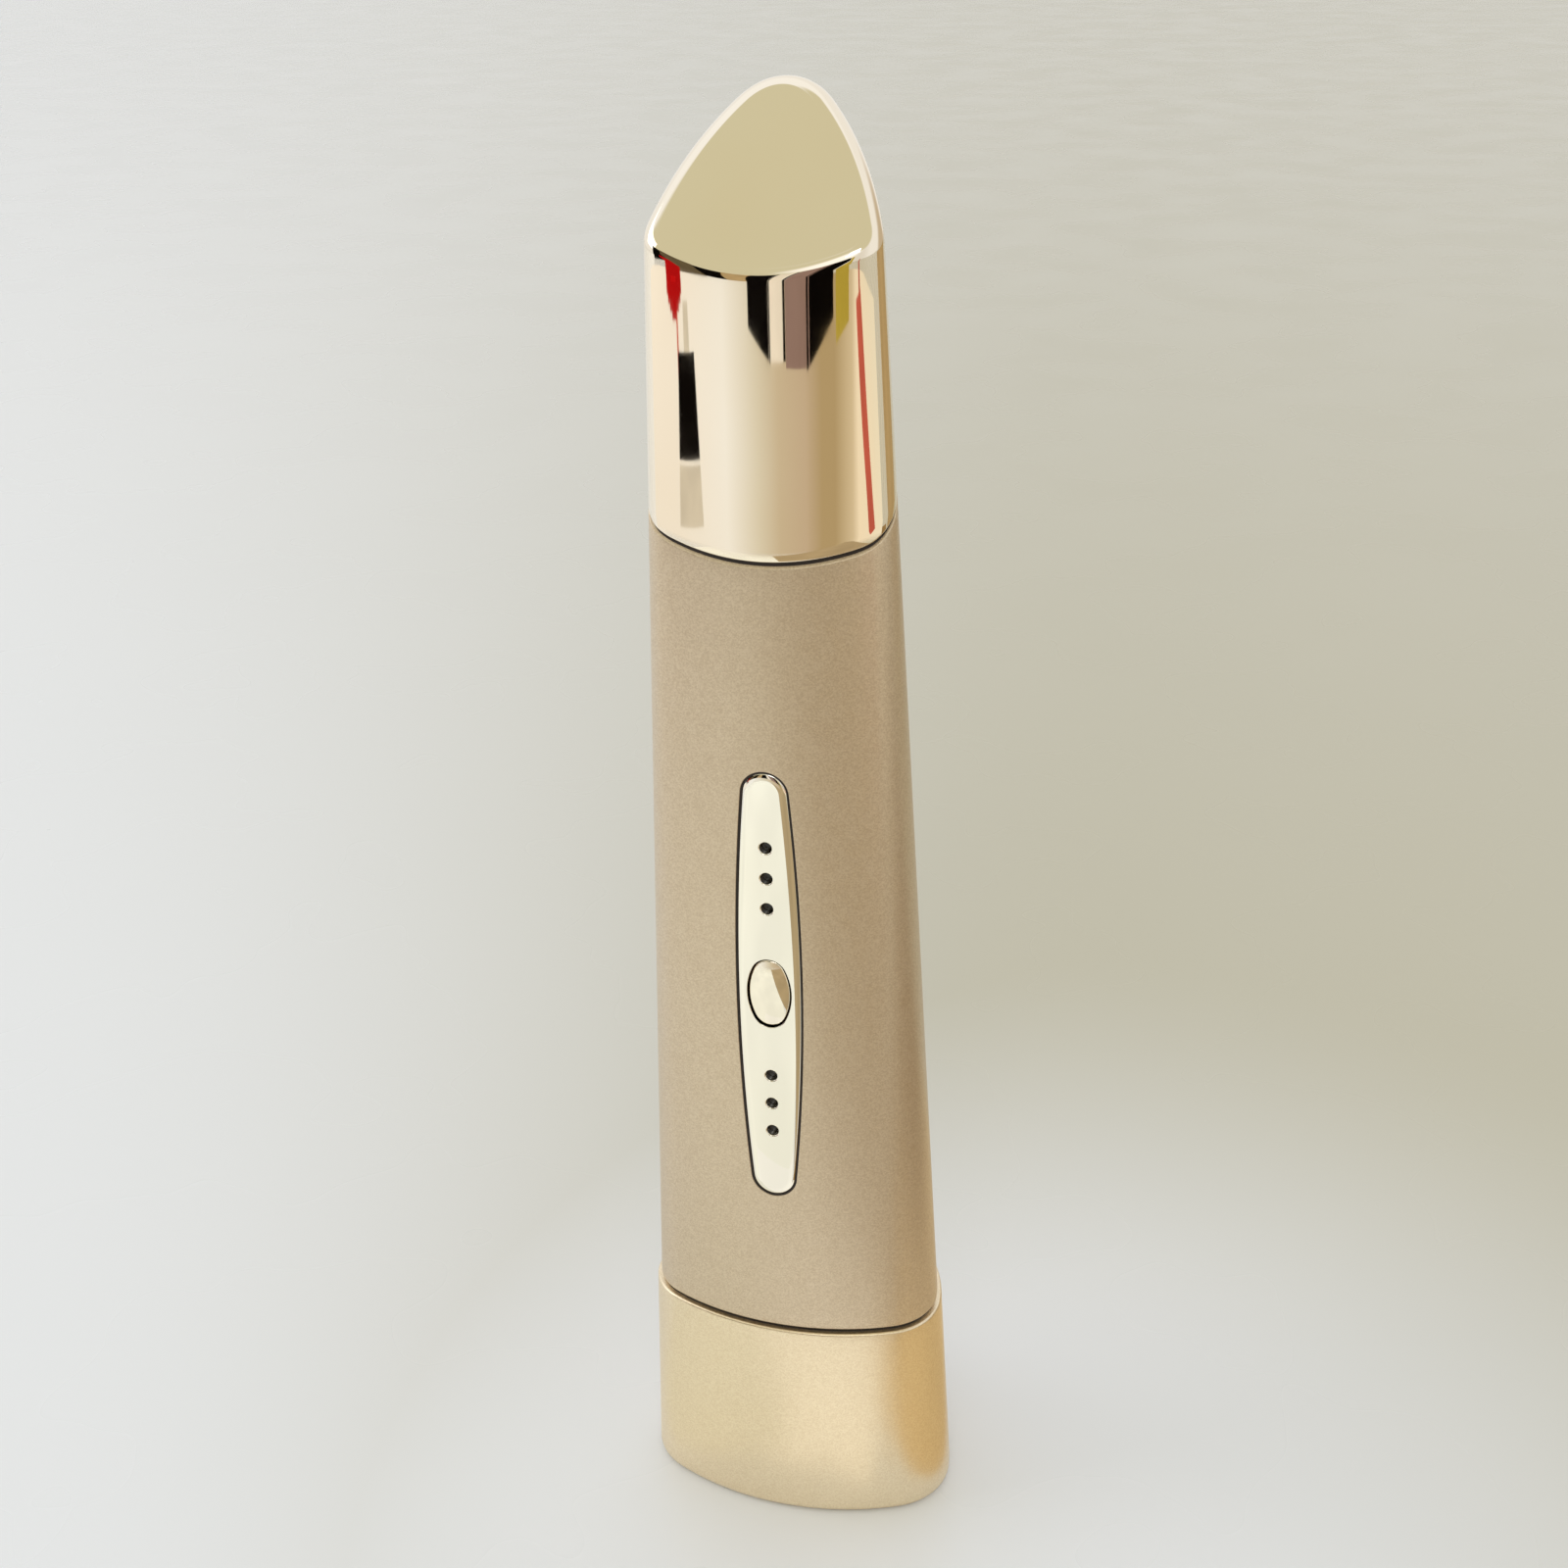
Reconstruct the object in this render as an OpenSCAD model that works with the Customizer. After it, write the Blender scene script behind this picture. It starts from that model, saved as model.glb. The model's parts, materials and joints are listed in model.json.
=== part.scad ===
// Heated eye massager wand: a tapering, free-standing handle of rounded-triangle section with a
// metal massage head cut off at a slant, a control plate on its front and a vibration motor inside.
// Millimetres. X is to the right seen from the front, the front faces -Y and Z is up.
// The origin is on the standing surface, under the middle of the foot.

/* [Overall] */
// Height from the standing surface to the tip of the head
total_h = 145; // [137:1:180]
// Width of the section at the standing surface
base_w = 31.8; // [28:0.2:40]
// Width that the section would have at the full height
top_w = 19.6; // [18:0.2:26]
// Radius of the front face, the same at every height
front_r = 28; // [24:0.5:40]
// Reach of the section behind its widest line, at the standing surface
base_reach = 17.6; // [15:0.2:22]
// Reach of the section behind its widest line, at the full height
top_reach = 10.4; // [9.6:0.2:14]
// Radius of the left and right corners, at the standing surface
base_corner_r = 6.6; // [4:0.2:8]
// Radius of the left and right corners, at the full height
top_corner_r = 2.2; // [1.8:0.1:4]
// Radius of the back ridge, at the standing surface
base_ridge_r = 9.6; // [7:0.2:12]
// Radius of the back ridge, at the full height
top_ridge_r = 6.0; // [4:0.2:7]
// Radius of the two faces between a corner and the back ridge
flank_r = 20; // [18:1:80]

/* [Head] */
// Height of the head at its front, from its seam up to the level of the tip
head_len = 39.2; // [32:0.2:50]
// Slope of the seam between head and sleeve, rising to the back
seam_tilt = 45; // [30:1:50]
// Slope of the flat massage face
facet_tilt = 51.5; // [45:0.5:56]
// Radius of the rounded edge all round the massage face
facet_edge_r = 1.7; // [1.6:0.1:2.4]
// Wall of the head
head_wall = 1.5; // [1.2:0.1:1.6]
// Thickness of the black ring between head and sleeve
head_seal_t = 0.3; // [0.2:0.1:0.6]
// Depth at which the two black rings lie below the surface
seal_inset = 0.25; // [0.1:0.05:0.5]
// Length of the carrier below the seam, inside the sleeve
carrier_tail = 7; // [5:0.5:9]
// Wall of the carrier
carrier_wall = 1.2; // [0.9:0.1:1.5]
// Thickness of the heating film
film_t = 0.2; // [0.1:0.05:0.4]
// Thickness of the soft pad that presses the film against the head
heater_pad_t = 1.0; // [0.6:0.1:1.5]

/* [Sleeve] */
// Wall of the sleeve
sleeve_wall = 1.5; // [1.3:0.1:1.8]
// Clearance between the sleeve and the pieces that slide into it
slide_gap = 0.12; // [0.05:0.01:0.2]

/* [End cap] */
// Height of the end cap
cap_h = 23.6; // [20:0.2:28]
// Distance that the end cap stands out from the sleeve
cap_proud = 0.4; // [0.2:0.05:0.6]
// Wall of the end cap
cap_wall = 1.6; // [1.3:0.1:2]
// Thickness of the end cap's floor
cap_floor = 2.0; // [1.6:0.1:2.4]
// Radius of the end cap's lower edge
cap_edge_r = 0.8; // [0.5:0.1:1.2]
// Thickness of the black ring between end cap and sleeve
end_seal_t = 0.4; // [0.3:0.05:0.6]

/* [Control plate] */
// Height of the middle of the plate and button
plate_z = 63; // [58:0.5:66]
// Length of the plate
plate_l = 45.8; // [40:0.2:56]
// Width of the plate at its middle
plate_w = 6.2; // [5.6:0.1:7.6]
// Radius of the plate's long sides
plate_side_r = 225; // [180:5:400]
// Thickness of the plate
plate_t = 0.8; // [0.6:0.05:0.9]
// Gap all round the plate
plate_gap = 0.2; // [0.1:0.05:0.3]
// Thickness of the adhesive under the plate
adhesive_t = 0.1; // [0.05:0.01:0.15]
// Diameter of each indicator hole
lamp_d = 1.3; // [1.0:0.1:1.6]
// Distance from one indicator hole to the next
lamp_pitch = 3.15; // [2.6:0.05:3.6]
// Distance from the button's middle to the middle hole of each three
lamp_offset = 12.25; // [10:0.05:14]

/* [Button] */
// Width of the button
button_w = 4.0; // [3.4:0.1:4.8]
// Length of the button
button_l = 7.0; // [6:0.1:8.4]
// Radius of the button's long sides
button_side_r = 6.1; // [5:0.1:8]
// Gap all round the button
button_gap = 0.2; // [0.15:0.05:0.3]
// Travel of the button
button_travel = 0.45; // [0.3:0.05:0.5]
// Rise of the button's domed face above its rim
button_crown = 0.3; // [0.1:0.05:0.4]

/* [Inside] */
// Width of the main circuit board
board_w = 14.4; // [12:0.2:16]
// Thickness of the circuit boards
board_t = 1.0; // [0.6:0.1:1.6]
// Distance from the front line of the handle to the front of the main board
board_depth = 5.1; // [5:0.1:6]
// Width of the battery
battery_w = 12; // [10:0.5:13]
// Thickness of the battery
battery_t = 5.5; // [4:0.1:6]
// Length of the battery
battery_l = 40; // [30:1:42]
// Diameter of the vibration motor
motor_d = 7; // [6:0.1:8]
// Length of the vibration motor's can
motor_l = 11; // [9:0.5:13]
// Diameter of the motor's shaft
shaft_d = 1.0; // [0.8:0.1:1.4]
// Radial running clearance of the shaft in its bearings
shaft_gap = 0.05; // [0.02:0.01:0.08]
// Radius of the eccentric weight
weight_r = 2.9; // [2.4:0.1:3.2]
// Length of the eccentric weight
weight_l = 4; // [3:0.5:5]
// Width of the charging socket's metal shell
port_w = 8.9; // [8:0.1:9.2]
// Height of the charging socket's metal shell
port_h = 3.2; // [3:0.1:3.4]
// Length of the charging socket's metal shell
port_l = 7.4; // [6:0.1:9]

/* [Hidden] */

ring_n = 72;        // points round each section of the handle
edge_n = 8;         // steps round a rounded edge
cut = 1;            // overrun of a cutter past the face that it opens
touch = 0.1;        // gap between faces that meet without a fit
$fn = 48;
fine_fn = 180;      // sides of a circle on a wide radius
side_n = 12;        // steps along the plate's or button's long side
end_n = 20;         // steps round its end

// ---- Section of the handle -------------------------------------------------------------
// An end of the form is [half width, corner radius, reach, ridge radius]. Angles are those of
// the outward normal: -90 at the front line, 0 at the right corner, 90 at the back ridge.
base_end = [base_w / 2, base_corner_r, base_reach, base_ridge_r];
top_end = [top_w / 2, top_corner_r, top_reach, top_ridge_r];

// Distance from the widest line back to the centre of the front face's arc
function front_c(e) = sqrt(pow(front_r - e[1], 2) - pow(e[0] - e[1], 2));
function corner_c(e) = [e[0] - e[1], 0];
function ridge_c(e) = [0, e[2] - e[3]];
// Centre of the flank's arc, tangent to the corner's arc and to the ridge's
function flank_c(e) = let (
        step = ridge_c(e) - corner_c(e),
        span = norm(step),
        to_corner = flank_r - e[1],
        to_ridge = flank_r - e[3],
        along = (to_corner * to_corner - to_ridge * to_ridge + span * span) / (2 * span),
        across = sqrt(to_corner * to_corner - along * along)
    ) corner_c(e) + step / span * along + [-step[1], step[0]] / span * across;
function heading(v) = atan2(v[1], v[0]);
// Everything that a point of the outline needs, worked out once for each end
function outline(e) = [
    [0, front_c(e)], corner_c(e), flank_c(e), ridge_c(e),
    [front_r, e[1], flank_r, e[3]],
    [heading(corner_c(e) - [0, front_c(e)]), heading(corner_c(e) - flank_c(e)),
        heading(ridge_c(e) - flank_c(e))]
];
base_outline = outline(base_end);
top_outline = outline(top_end);

base_depth = front_r - front_c(base_end) + base_reach;
front_line = -base_depth / 2;                       // Y of the vertical line down the front
front_axis = front_line + front_r;                  // Y of the front face's axis

function arc_of(o, f) = f <= o[5][0] ? 0 : f <= o[5][1] ? 1 : f <= o[5][2] ? 2 : 3;
function arc_point(o, f, inset) = let (k = arc_of(o, f)) o[k] + (o[4][k] - inset) * [cos(f), sin(f)];
// Point where the front's and the flank's arcs cross once both are moved in by inset
function arcs_cross(o, inset) = let (
        step = o[2] - o[0],
        span = norm(step),
        r = [o[4][0] - inset, o[4][2] - inset],
        along = (r[0] * r[0] - r[1] * r[1] + span * span) / (2 * span),
        across = sqrt(r[0] * r[0] - along * along)
    ) o[0] + step / span * along + [-step[1], step[0]] / span * across;
// An inset deeper than the corner's radius leaves a sharp corner there
function right_point(o, f, inset) = let (
        sharp = inset > o[4][1],
        tip = arcs_cross(o, inset),
        at_tip = sharp && f > heading(tip - o[0]) && f < heading(tip - o[2])
    ) (at_tip ? tip : arc_point(o, f, inset)) + [0, front_axis - o[0][1]];
function mirrored(p) = [-p[0], p[1]];
function outline_point(o, f, inset) =
    f <= 90 ? right_point(o, f, inset) : mirrored(right_point(o, 180 - f, inset));
function normals() = [for (i = [0 : ring_n - 1]) -90 + 360 * i / ring_n];

function base_point(f, inset) = outline_point(base_outline, f, inset);
function top_point(f, inset) = outline_point(top_outline, f, inset);
// Point of the handle's face, moved in by inset, on the plane that crosses the front line at
// height z and rises to the back at the angle tilt
function face_point(f, z, tilt, inset) = let (
        low = base_point(f, inset),
        high = top_point(f, inset),
        share = (z + tan(tilt) * (low[1] - front_line)) / (total_h - tan(tilt) * (high[1] - low[1])),
        p = low + (high - low) * share
    ) [p[0], p[1], share * total_h];
function ring_at(z, tilt, inset) = [for (f = normals()) face_point(f, z, tilt, inset)];
function level_ring(z, inset) = ring_at(z, 0, inset);
function half_width(z) = face_point(0, z, 0, 0)[0];
function widest_y(z) = face_point(0, z, 0, 0)[1];
function ridge_y(z) = face_point(90, z, 0, 0)[1];

// Solid through a list of rings, closed by its first and last ring
module loft(rings) {
    last = len(rings) - 1;
    polyhedron(
        points = [for (r = rings) each r],
        faces = concat(
            [[for (i = [0 : ring_n - 1]) i]],
            [[for (i = [ring_n - 1 : -1 : 0]) last * ring_n + i]],
            [for (k = [0 : last - 1]) for (i = [0 : ring_n - 1]) each band(k, k + 1, i)]
        ),
        convexity = 6
    );
}

// Solid through a list of rings whose last ring joins its first, such as a tube's wall
module loft_round(rings) {
    count = len(rings);
    polyhedron(
        points = [for (r = rings) each r],
        faces = [for (k = [0 : count - 1]) for (i = [0 : ring_n - 1])
            each band(k, (k + 1) % count, i)],
        convexity = 6
    );
}

// The two triangles between ring k and ring m at point i
function band(k, m, i) = let (j = (i + 1) % ring_n) [
    [k * ring_n + i, m * ring_n + i, m * ring_n + j],
    [k * ring_n + i, m * ring_n + j, k * ring_n + j]
];

// ---- Massage face ------------------------------------------------------------------------
function unit(v) = v / norm(v);
facet_normal = [0, -sin(facet_tilt), cos(facet_tilt)];
tip_z = total_h - facet_edge_r;
// Height at the front line of the plane that holds the centres of the rounded edge
edge_z = tip_z - tan(facet_tilt) * (ridge_y(tip_z) - facet_edge_r - front_line);
// Height at the front line of the plane that lies deep under the massage face
function facet_z(deep) = edge_z + (facet_edge_r - deep) / cos(facet_tilt);
function facet_ring(deep, inset) = ring_at(facet_z(deep), facet_tilt, inset);
// Point on the massage face's middle line at y, then straight in by deep
function facet_spot(y, deep) = [0, y, facet_z(0) + tan(facet_tilt) * (y - front_line)]
    - deep * facet_normal;
// Outward normal of the handle's face where its level normal is at the angle f
function face_normal(f) = let (
        level = [cos(f), sin(f)],
        lean = (top_point(f, 0) - base_point(f, 0)) * level / total_h
    ) unit([level[0], level[1], -lean]);
function turned(a, b, share) = let (
        whole = acos(a * b)
    ) (sin((1 - share) * whole) * a + sin(share * whole) * b) / sin(whole);
// Ring on the rounded edge: share is 0 at the handle's face and 1 at the massage face
function edge_ring(r, share) = [for (f = normals())
    face_point(f, edge_z, facet_tilt, facet_edge_r) + r * turned(face_normal(f), facet_normal, share)
];

// ---- Places along the handle ---------------------------------------------------------------
seam_z = total_h - head_len;                        // front of the seam under the head
seal_drop = head_seal_t / cos(seam_tilt);
sleeve_z0 = cap_h + end_seal_t;
sleeve_top_z = seam_z - seal_drop;
sleeve_inset = sleeve_wall + slide_gap;             // what slides into the sleeve or the head
tail_z = sleeve_top_z - carrier_tail;

// Heater under the massage face; a depth is measured straight in from that face
bond_t = 0.05;                                      // bond line on each side of the heating film
film_deep = head_wall + bond_t;
film_end = film_deep + film_t;
pad_deep = film_end + bond_t + heater_pad_t;
film_inset = head_wall + 1;
lead_hole_r = 1.5;
lead_hole_y = front_line + 4.8;
probe_r = 0.8;
probe_y = lead_hole_y + 3;

tenon_t = 1.2;                                      // wall of the end cap's tenon
tenon_l = 1.1;                                      // reach of the tenon into the sleeve
tenon_z = sleeve_z0 + tenon_l;
foot_t = 2.2;                                       // plate at the foot of the inner frame
foot_z0 = tenon_z + touch;
foot_z1 = foot_z0 + foot_t;

screw_r = 0.85;
screw_l = 7;
screw_head_r = 1.6;
screw_head_t = 1.0;
screw_gap = 0.03;
boss_r = 1.9;
boss_l = 8;
boss_end = 1;                                       // solid end of a boss above its screw hole
boss_bite = 0.4;                                    // overlap of a boss with the sleeve's wall
boss_x = half_width(foot_z1 + boss_l) - sleeve_wall - boss_r + boss_bite;
boss_y = widest_y(foot_z1 + boss_l) + 0.8;

lamp_zs = [for (side = [1, -1]) for (k = [-1 : 1]) plate_z + side * lamp_offset + k * lamp_pitch];
lamp_r = lamp_d / 2;
pin_gap = 0.1;
pin_r = lamp_r - pin_gap;
pin_sunk = plate_t + adhesive_t - touch;            // depth of a light guide's pins in the holes
guide_w = 3.2;
guide_t = 1.3;
led_w = 1.6;
led_l = 0.8;
led_t = 0.5;

window_gap = 0.2;
window_land = 0.2;                                  // plate that stays beside the flange's window
flange_rim = (plate_w - button_w) / 2 - window_gap - window_land;
flange_t = 0.5;
crown_proud = 0.1;                                  // top of the button's dome before the front line
crown_across = crown_radius(button_w / 2);
crown_along = crown_radius(button_l / 2);
flange_y = front_line + plate_t + adhesive_t + touch;
switch_w = 3.4;
switch_l = 4.4;
switch_t = 1.4;
plunger_r = 0.8;
plunger_gap = 0.05;
plunger_out = button_travel + 0.25;
plunger_in = 0.4;                                   // length of the plunger inside the switch at rest
board_y = front_line + board_depth;
switch_y = board_y - switch_t;
plunger_y = switch_y - plunger_out;

board_low = 27.5;                                   // from the button's middle to the board's foot
board_z0 = plate_z - board_low;
connector_w = 3.4;
connector_t = 1.6;
connector_l = 3.6;
connector_x = 4.6;
chip_zs = [plate_z - 6.3, board_z0 + 8.5];
big_chip_x = 5;
big_chip_w = 4;
big_chip_t = 0.8;
small_chip_x = -5.3;
small_chip_w = 2.6;
small_chip_t = 0.6;
board_screw_in = 2.0;                               // from the board's end to its screw
board_screw_r = 0.6;
board_screw_head_r = 1.3;
board_screw_head_t = 0.6;
board_hole_r = 0.8;

boot_t = 0.8;
cup_wall = 0.8;
cup_r = motor_d / 2 + boot_t + touch + cup_wall;
cup_floor = 1.2;
cup_gap = 0.25;
cup_slot = 1.4;                                     // half width of the slot for the motor's leads
motor_y = front_line + sleeve_inset + carrier_wall + cup_gap + cup_r;
motor_cap_t = 1.2;
bearing_floor = 0.5;
can_wall = 0.4;
can_top_t = 1.0;
armature_gap = 0.35;
armature_end_gap = 1;
motor_z1 = seam_z - 2.3;                            // top of the motor's can
motor_z0 = motor_z1 - motor_l;
cup_z0 = motor_z0 - motor_cap_t - cup_floor;
cup_z1 = motor_z1 - 2.5;
shaft_r = shaft_d / 2;
hub_wall = 0.7;
weight_z0 = motor_z1 + 0.8;
board_z1 = cup_z0 - 0.4;
connector_zs = [board_z0 + connector_l / 2, board_z1 - connector_l / 2];
board_screw_zs = [board_z0 + board_screw_in, board_z1 - board_screw_in];

spine_y0 = board_y + board_t;
spine_t = 1.2;
spine_y1 = spine_y0 + spine_t;
rail_t = 1.0;
rail_x = board_w / 2 + touch;
rail_lip = 0.4;                                     // rails in front of the board's face
tray_gap = 0.15;
tray_t = 1.0;
tray_deep = 3.6;
tray_end_deep = 2.8;
wire_window_x = 3.4;                                // half width of the window in the spine
foot_window = [6, 2.5];                             // half width and half depth of the one in the foot
battery_edge_r = 1.2;
battery_pad_t = 0.5;
battery_y0 = spine_y1 + battery_pad_t;
battery_z0 = board_z0 + 4;
battery_z1 = battery_z0 + battery_l;

port_z0 = 0.5;
port_wall = 0.3;
port_gap = 0.35;
port_y = 0;
tongue_w = port_w - 2.2;
tongue_t = 0.7;
charge_w = 15;
charge_l = 15;
charge_z0 = cap_floor + 0.15;
charge_y0 = port_y + port_h / 2;
core_l = 1.8;                                       // solid end of the socket behind its tongue
tongue_sunk = 0.9;
post_w = 2.4;                                       // posts that hold the charging board
post_t = 2.8;
post_l = 9;

hook_t = 1.1;
hook_l = 5;
hook_gap = 0.2;
hook_barb = 0.8;
hook_front_y = front_line + sleeve_inset + 0.1;
hook_back_y = ridge_y(foot_z0) - sleeve_inset - 0.6 - hook_t;

lead_r = 0.35;
lead_gap = 1.2;                                     // between the middles of a pair's two leads
lead_sides = 6;
lead_steps = 3;

// ---- Helpers ----------------------------------------------------------------------------------
// Outline drawn in X and Z, made solid from y0 to y1
module across(y0, y1) {
    translate([0, y1, 0])
        rotate([90, 0, 0])
            linear_extrude(y1 - y0) children();
}

// Long oval of four arcs: two on side_r, and two that close its ends
module four_arcs(half_w, half_l, side_r) {
    off = side_r - half_w;
    reach = half_l - side_r;
    end_c = (reach * reach - off * off) / (2 * reach);
    end_r = half_l - end_c;
    meet = atan2(end_c, off);                       // normal angle where side and end meet
    turn = 180 - 2 * meet;
    polygon([for (half = [0, 180]) each concat(
        [for (k = [0 : side_n]) let (a = half - meet + 2 * meet * k / side_n)
            [-off * cos(half), 0] + side_r * [cos(a), sin(a)]],
        [for (k = [1 : end_n - 1]) let (a = half + meet + turn * k / end_n)
            [0, end_c * cos(half)] + end_r * [cos(a), sin(a)]]
    )]);
}

module plate_outline(grow) {
    translate([0, plate_z])
        four_arcs(plate_w / 2 + grow, plate_l / 2 + grow, plate_side_r + grow);
}

module button_outline(grow) {
    translate([0, plate_z])
        four_arcs(button_w / 2 + grow, button_l / 2 + grow, button_side_r + grow);
}

// Upright cylinder on the axis of the front face
module front_drum(r) {
    translate([0, front_axis, plate_z])
        cylinder(h = 2 * plate_l, r = r, center = true, $fn = 2 * fine_fn);
}

// Round bar along Y at the height z
module cross_bar(z, y0, y1, r, x = 0) {
    translate([x, y1, z])
        rotate([90, 0, 0])
            cylinder(h = y1 - y0, r = r);
}

module lamp_holes(r) {
    for (z = lamp_zs) {
        cross_bar(z, front_line - cut, board_y - cut, r);
    }
}

module block(low, high) {
    translate(low) cube(high - low);
}

// Flat bar with round ends, upright, as wide as w and as thick as t
module round_slot(w, t, z0, z1) {
    translate([0, port_y, z0])
        linear_extrude(z1 - z0)
            union() {
                square([w - t, t], center = true);
                for (side = [-1, 1]) {
                    translate([side * (w - t) / 2, 0]) circle(t / 2);
                }
            }
}

// Smooth way through a lead's points
function lead_point(p, i, t) = let (
        a = p[max(i - 1, 0)], b = p[i], c = p[i + 1], d = p[min(i + 2, len(p) - 1)]
    ) 0.5 * (2 * b + (c - a) * t + (2 * a - 5 * b + 4 * c - d) * t * t
        + (3 * b - a - 3 * c + d) * t * t * t);
function lead_way(p) = concat(
    [for (i = [0 : len(p) - 2]) for (k = [0 : lead_steps - 1]) lead_point(p, i, k / lead_steps)],
    [p[len(p) - 1]]
);
function way_heading(w, i) = unit(w[min(i + 1, len(w) - 1)] - w[max(i - 1, 0)]);
// Ring of a lead, square to its way; hint is a direction that the way never takes
function lead_ring(w, i, hint) = let (
        ahead = way_heading(w, i),
        side = unit(cross(hint, ahead)),
        rise = cross(ahead, side)
    ) [for (k = [0 : lead_sides - 1]) let (a = 360 * k / lead_sides)
        w[i] + lead_r * (cos(a) * side + sin(a) * rise)];

module lead(points, hint) {
    way = lead_way(points);
    last = len(way) - 1;
    n = lead_sides;
    polyhedron(
        points = [for (i = [0 : last]) each lead_ring(way, i, hint)],
        faces = concat(
            [[for (k = [0 : n - 1]) k]],
            [[for (k = [n - 1 : -1 : 0]) last * n + k]],
            [for (i = [0 : last - 1]) for (k = [0 : n - 1]) let (m = (k + 1) % n) each [
                [i * n + k, (i + 1) * n + k, (i + 1) * n + m],
                [i * n + k, (i + 1) * n + m, i * n + m]
            ]]
        )
    );
}

// ---- Head ------------------------------------------------------------------------------------
// Metal massage head: one wall, closed by the slanting face with its rounded edge
module head_shell() {
    inner_r = facet_edge_r - head_wall;
    inner_n = 3;
    color([0.93, 0.80, 0.62])
        loft(concat(
            [for (k = [inner_n : -1 : 0]) edge_ring(inner_r, k / inner_n)],
            [ring_at(seam_z, seam_tilt, head_wall)],
            [ring_at(seam_z, seam_tilt, 0)],
            [for (k = [0 : edge_n]) edge_ring(facet_edge_r, k / edge_n)]
        ));
}

module head_seal() {
    color([0.08, 0.07, 0.07])
        loft_round([
            ring_at(sleeve_top_z, seam_tilt, seal_inset),
            ring_at(seam_z, seam_tilt, seal_inset),
            ring_at(seam_z, seam_tilt, head_wall),
            ring_at(sleeve_top_z, seam_tilt, head_wall)
        ]);
}

// Plastic cup inside the head: its tail joins head and sleeve, its top presses the heater pad
module head_carrier() {
    shoulder_deep = 6;
    lid_deep = pad_deep + touch;
    lid_inset = sleeve_inset + 1;
    bore_inset = sleeve_inset + carrier_wall;
    color([0.25, 0.25, 0.27])
        difference() {
            loft([
                facet_ring(lid_deep + carrier_wall, lid_inset + carrier_wall),
                facet_ring(shoulder_deep + carrier_wall / 2, bore_inset),
                ring_at(tail_z, seam_tilt, bore_inset),
                ring_at(tail_z, seam_tilt, sleeve_inset),
                facet_ring(shoulder_deep, sleeve_inset),
                facet_ring(lid_deep, lid_inset)
            ]);
            translate(facet_spot(lead_hole_y, 0))
                rotate([facet_tilt, 0, 0])
                    cylinder(h = 2 * (lid_deep + carrier_wall + cut), r = lead_hole_r, center = true);
        }
}

// Flat layer under the massage face, between the depths deep0 and deep1
module facet_layer(deep0, deep1, inset) {
    base = facet_spot(front_line, deep1);
    translate(base)
        rotate([facet_tilt, 0, 0])
            linear_extrude(deep1 - deep0)
                polygon([for (p = facet_ring(deep1, inset)) [p[0], (p[1] - base[1]) / cos(facet_tilt)]]);
}

module heater_film() {
    color([0.80, 0.52, 0.18]) facet_layer(film_deep, film_end, film_inset);
}

module heater_pad() {
    color([0.75, 0.76, 0.78])
        difference() {
            facet_layer(film_end + bond_t, pad_deep, film_inset);
            for (spot = [[lead_hole_y, lead_hole_r], [probe_y, probe_r + touch]]) {
                translate(facet_spot(spot[0], 0))
                    rotate([facet_tilt, 0, 0])
                        cylinder(h = 4 * pad_deep, r = spot[1], center = true);
            }
        }
}

module thermistor() {
    color([0.15, 0.15, 0.16])
        translate(facet_spot(probe_y, pad_deep - touch))
            rotate([facet_tilt, 0, 0])
                cylinder(h = pad_deep - touch - film_end - bond_t, r = probe_r);
}

// ---- Sleeve and plate ----------------------------------------------------------------------------
// Painted sleeve of the handle, with the plate's pocket and two screw bosses at its foot
module body_sleeve() {
    color([0.72, 0.63, 0.51])
        difference() {
            union() {
                loft_round([
                    level_ring(sleeve_z0, 0),
                    ring_at(sleeve_top_z, seam_tilt, 0),
                    ring_at(sleeve_top_z, seam_tilt, sleeve_wall),
                    level_ring(sleeve_z0, sleeve_wall)
                ]);
                for (side = [-1, 1]) {
                    translate([side * boss_x, boss_y, foot_z1])
                        cylinder(h = boss_l, r = boss_r);
                }
            }
            difference() {
                across(front_line - cut, front_line + plate_w) plate_outline(plate_gap);
                front_drum(front_r - plate_t - adhesive_t);
            }
            across(front_line - cut, front_line + plate_w) button_outline(flange_rim + window_gap);
            lamp_holes(lamp_r);
            for (side = [-1, 1]) {
                translate([side * boss_x, boss_y, foot_z1 - cut])
                    cylinder(h = boss_l - boss_end + cut, r = screw_r + screw_gap);
            }
        }
}

module control_plate() {
    color([0.95, 0.86, 0.70])
        difference() {
            intersection() {
                across(front_line - cut, front_line + plate_w) plate_outline(0);
                difference() {
                    front_drum(front_r);
                    front_drum(front_r - plate_t);
                }
            }
            across(front_line - 2 * cut, front_line + 2 * plate_w) button_outline(button_gap);
            lamp_holes(lamp_r);
        }
}

module plate_adhesive() {
    color([0.10, 0.09, 0.09])
        difference() {
            intersection() {
                across(front_line - cut, front_line + plate_w) plate_outline(-touch);
                difference() {
                    front_drum(front_r - plate_t);
                    front_drum(front_r - plate_t - adhesive_t);
                }
            }
            across(front_line - 2 * cut, front_line + 2 * plate_w)
                button_outline(flange_rim + window_gap);
            lamp_holes(lamp_r + touch);
        }
}

function crown_radius(half) = (half * half + button_crown * button_crown) / (2 * button_crown);

// Upright spindle whose waist is as round, across and along, as the button's face
module crown_spindle() {
    rotate_extrude($fn = fine_fn)
        intersection() {
            translate([crown_across - crown_along, 0]) circle(crown_along, $fn = fine_fn);
            translate([0, -button_l]) square([2 * crown_across, 2 * button_l]);
        }
}

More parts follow.
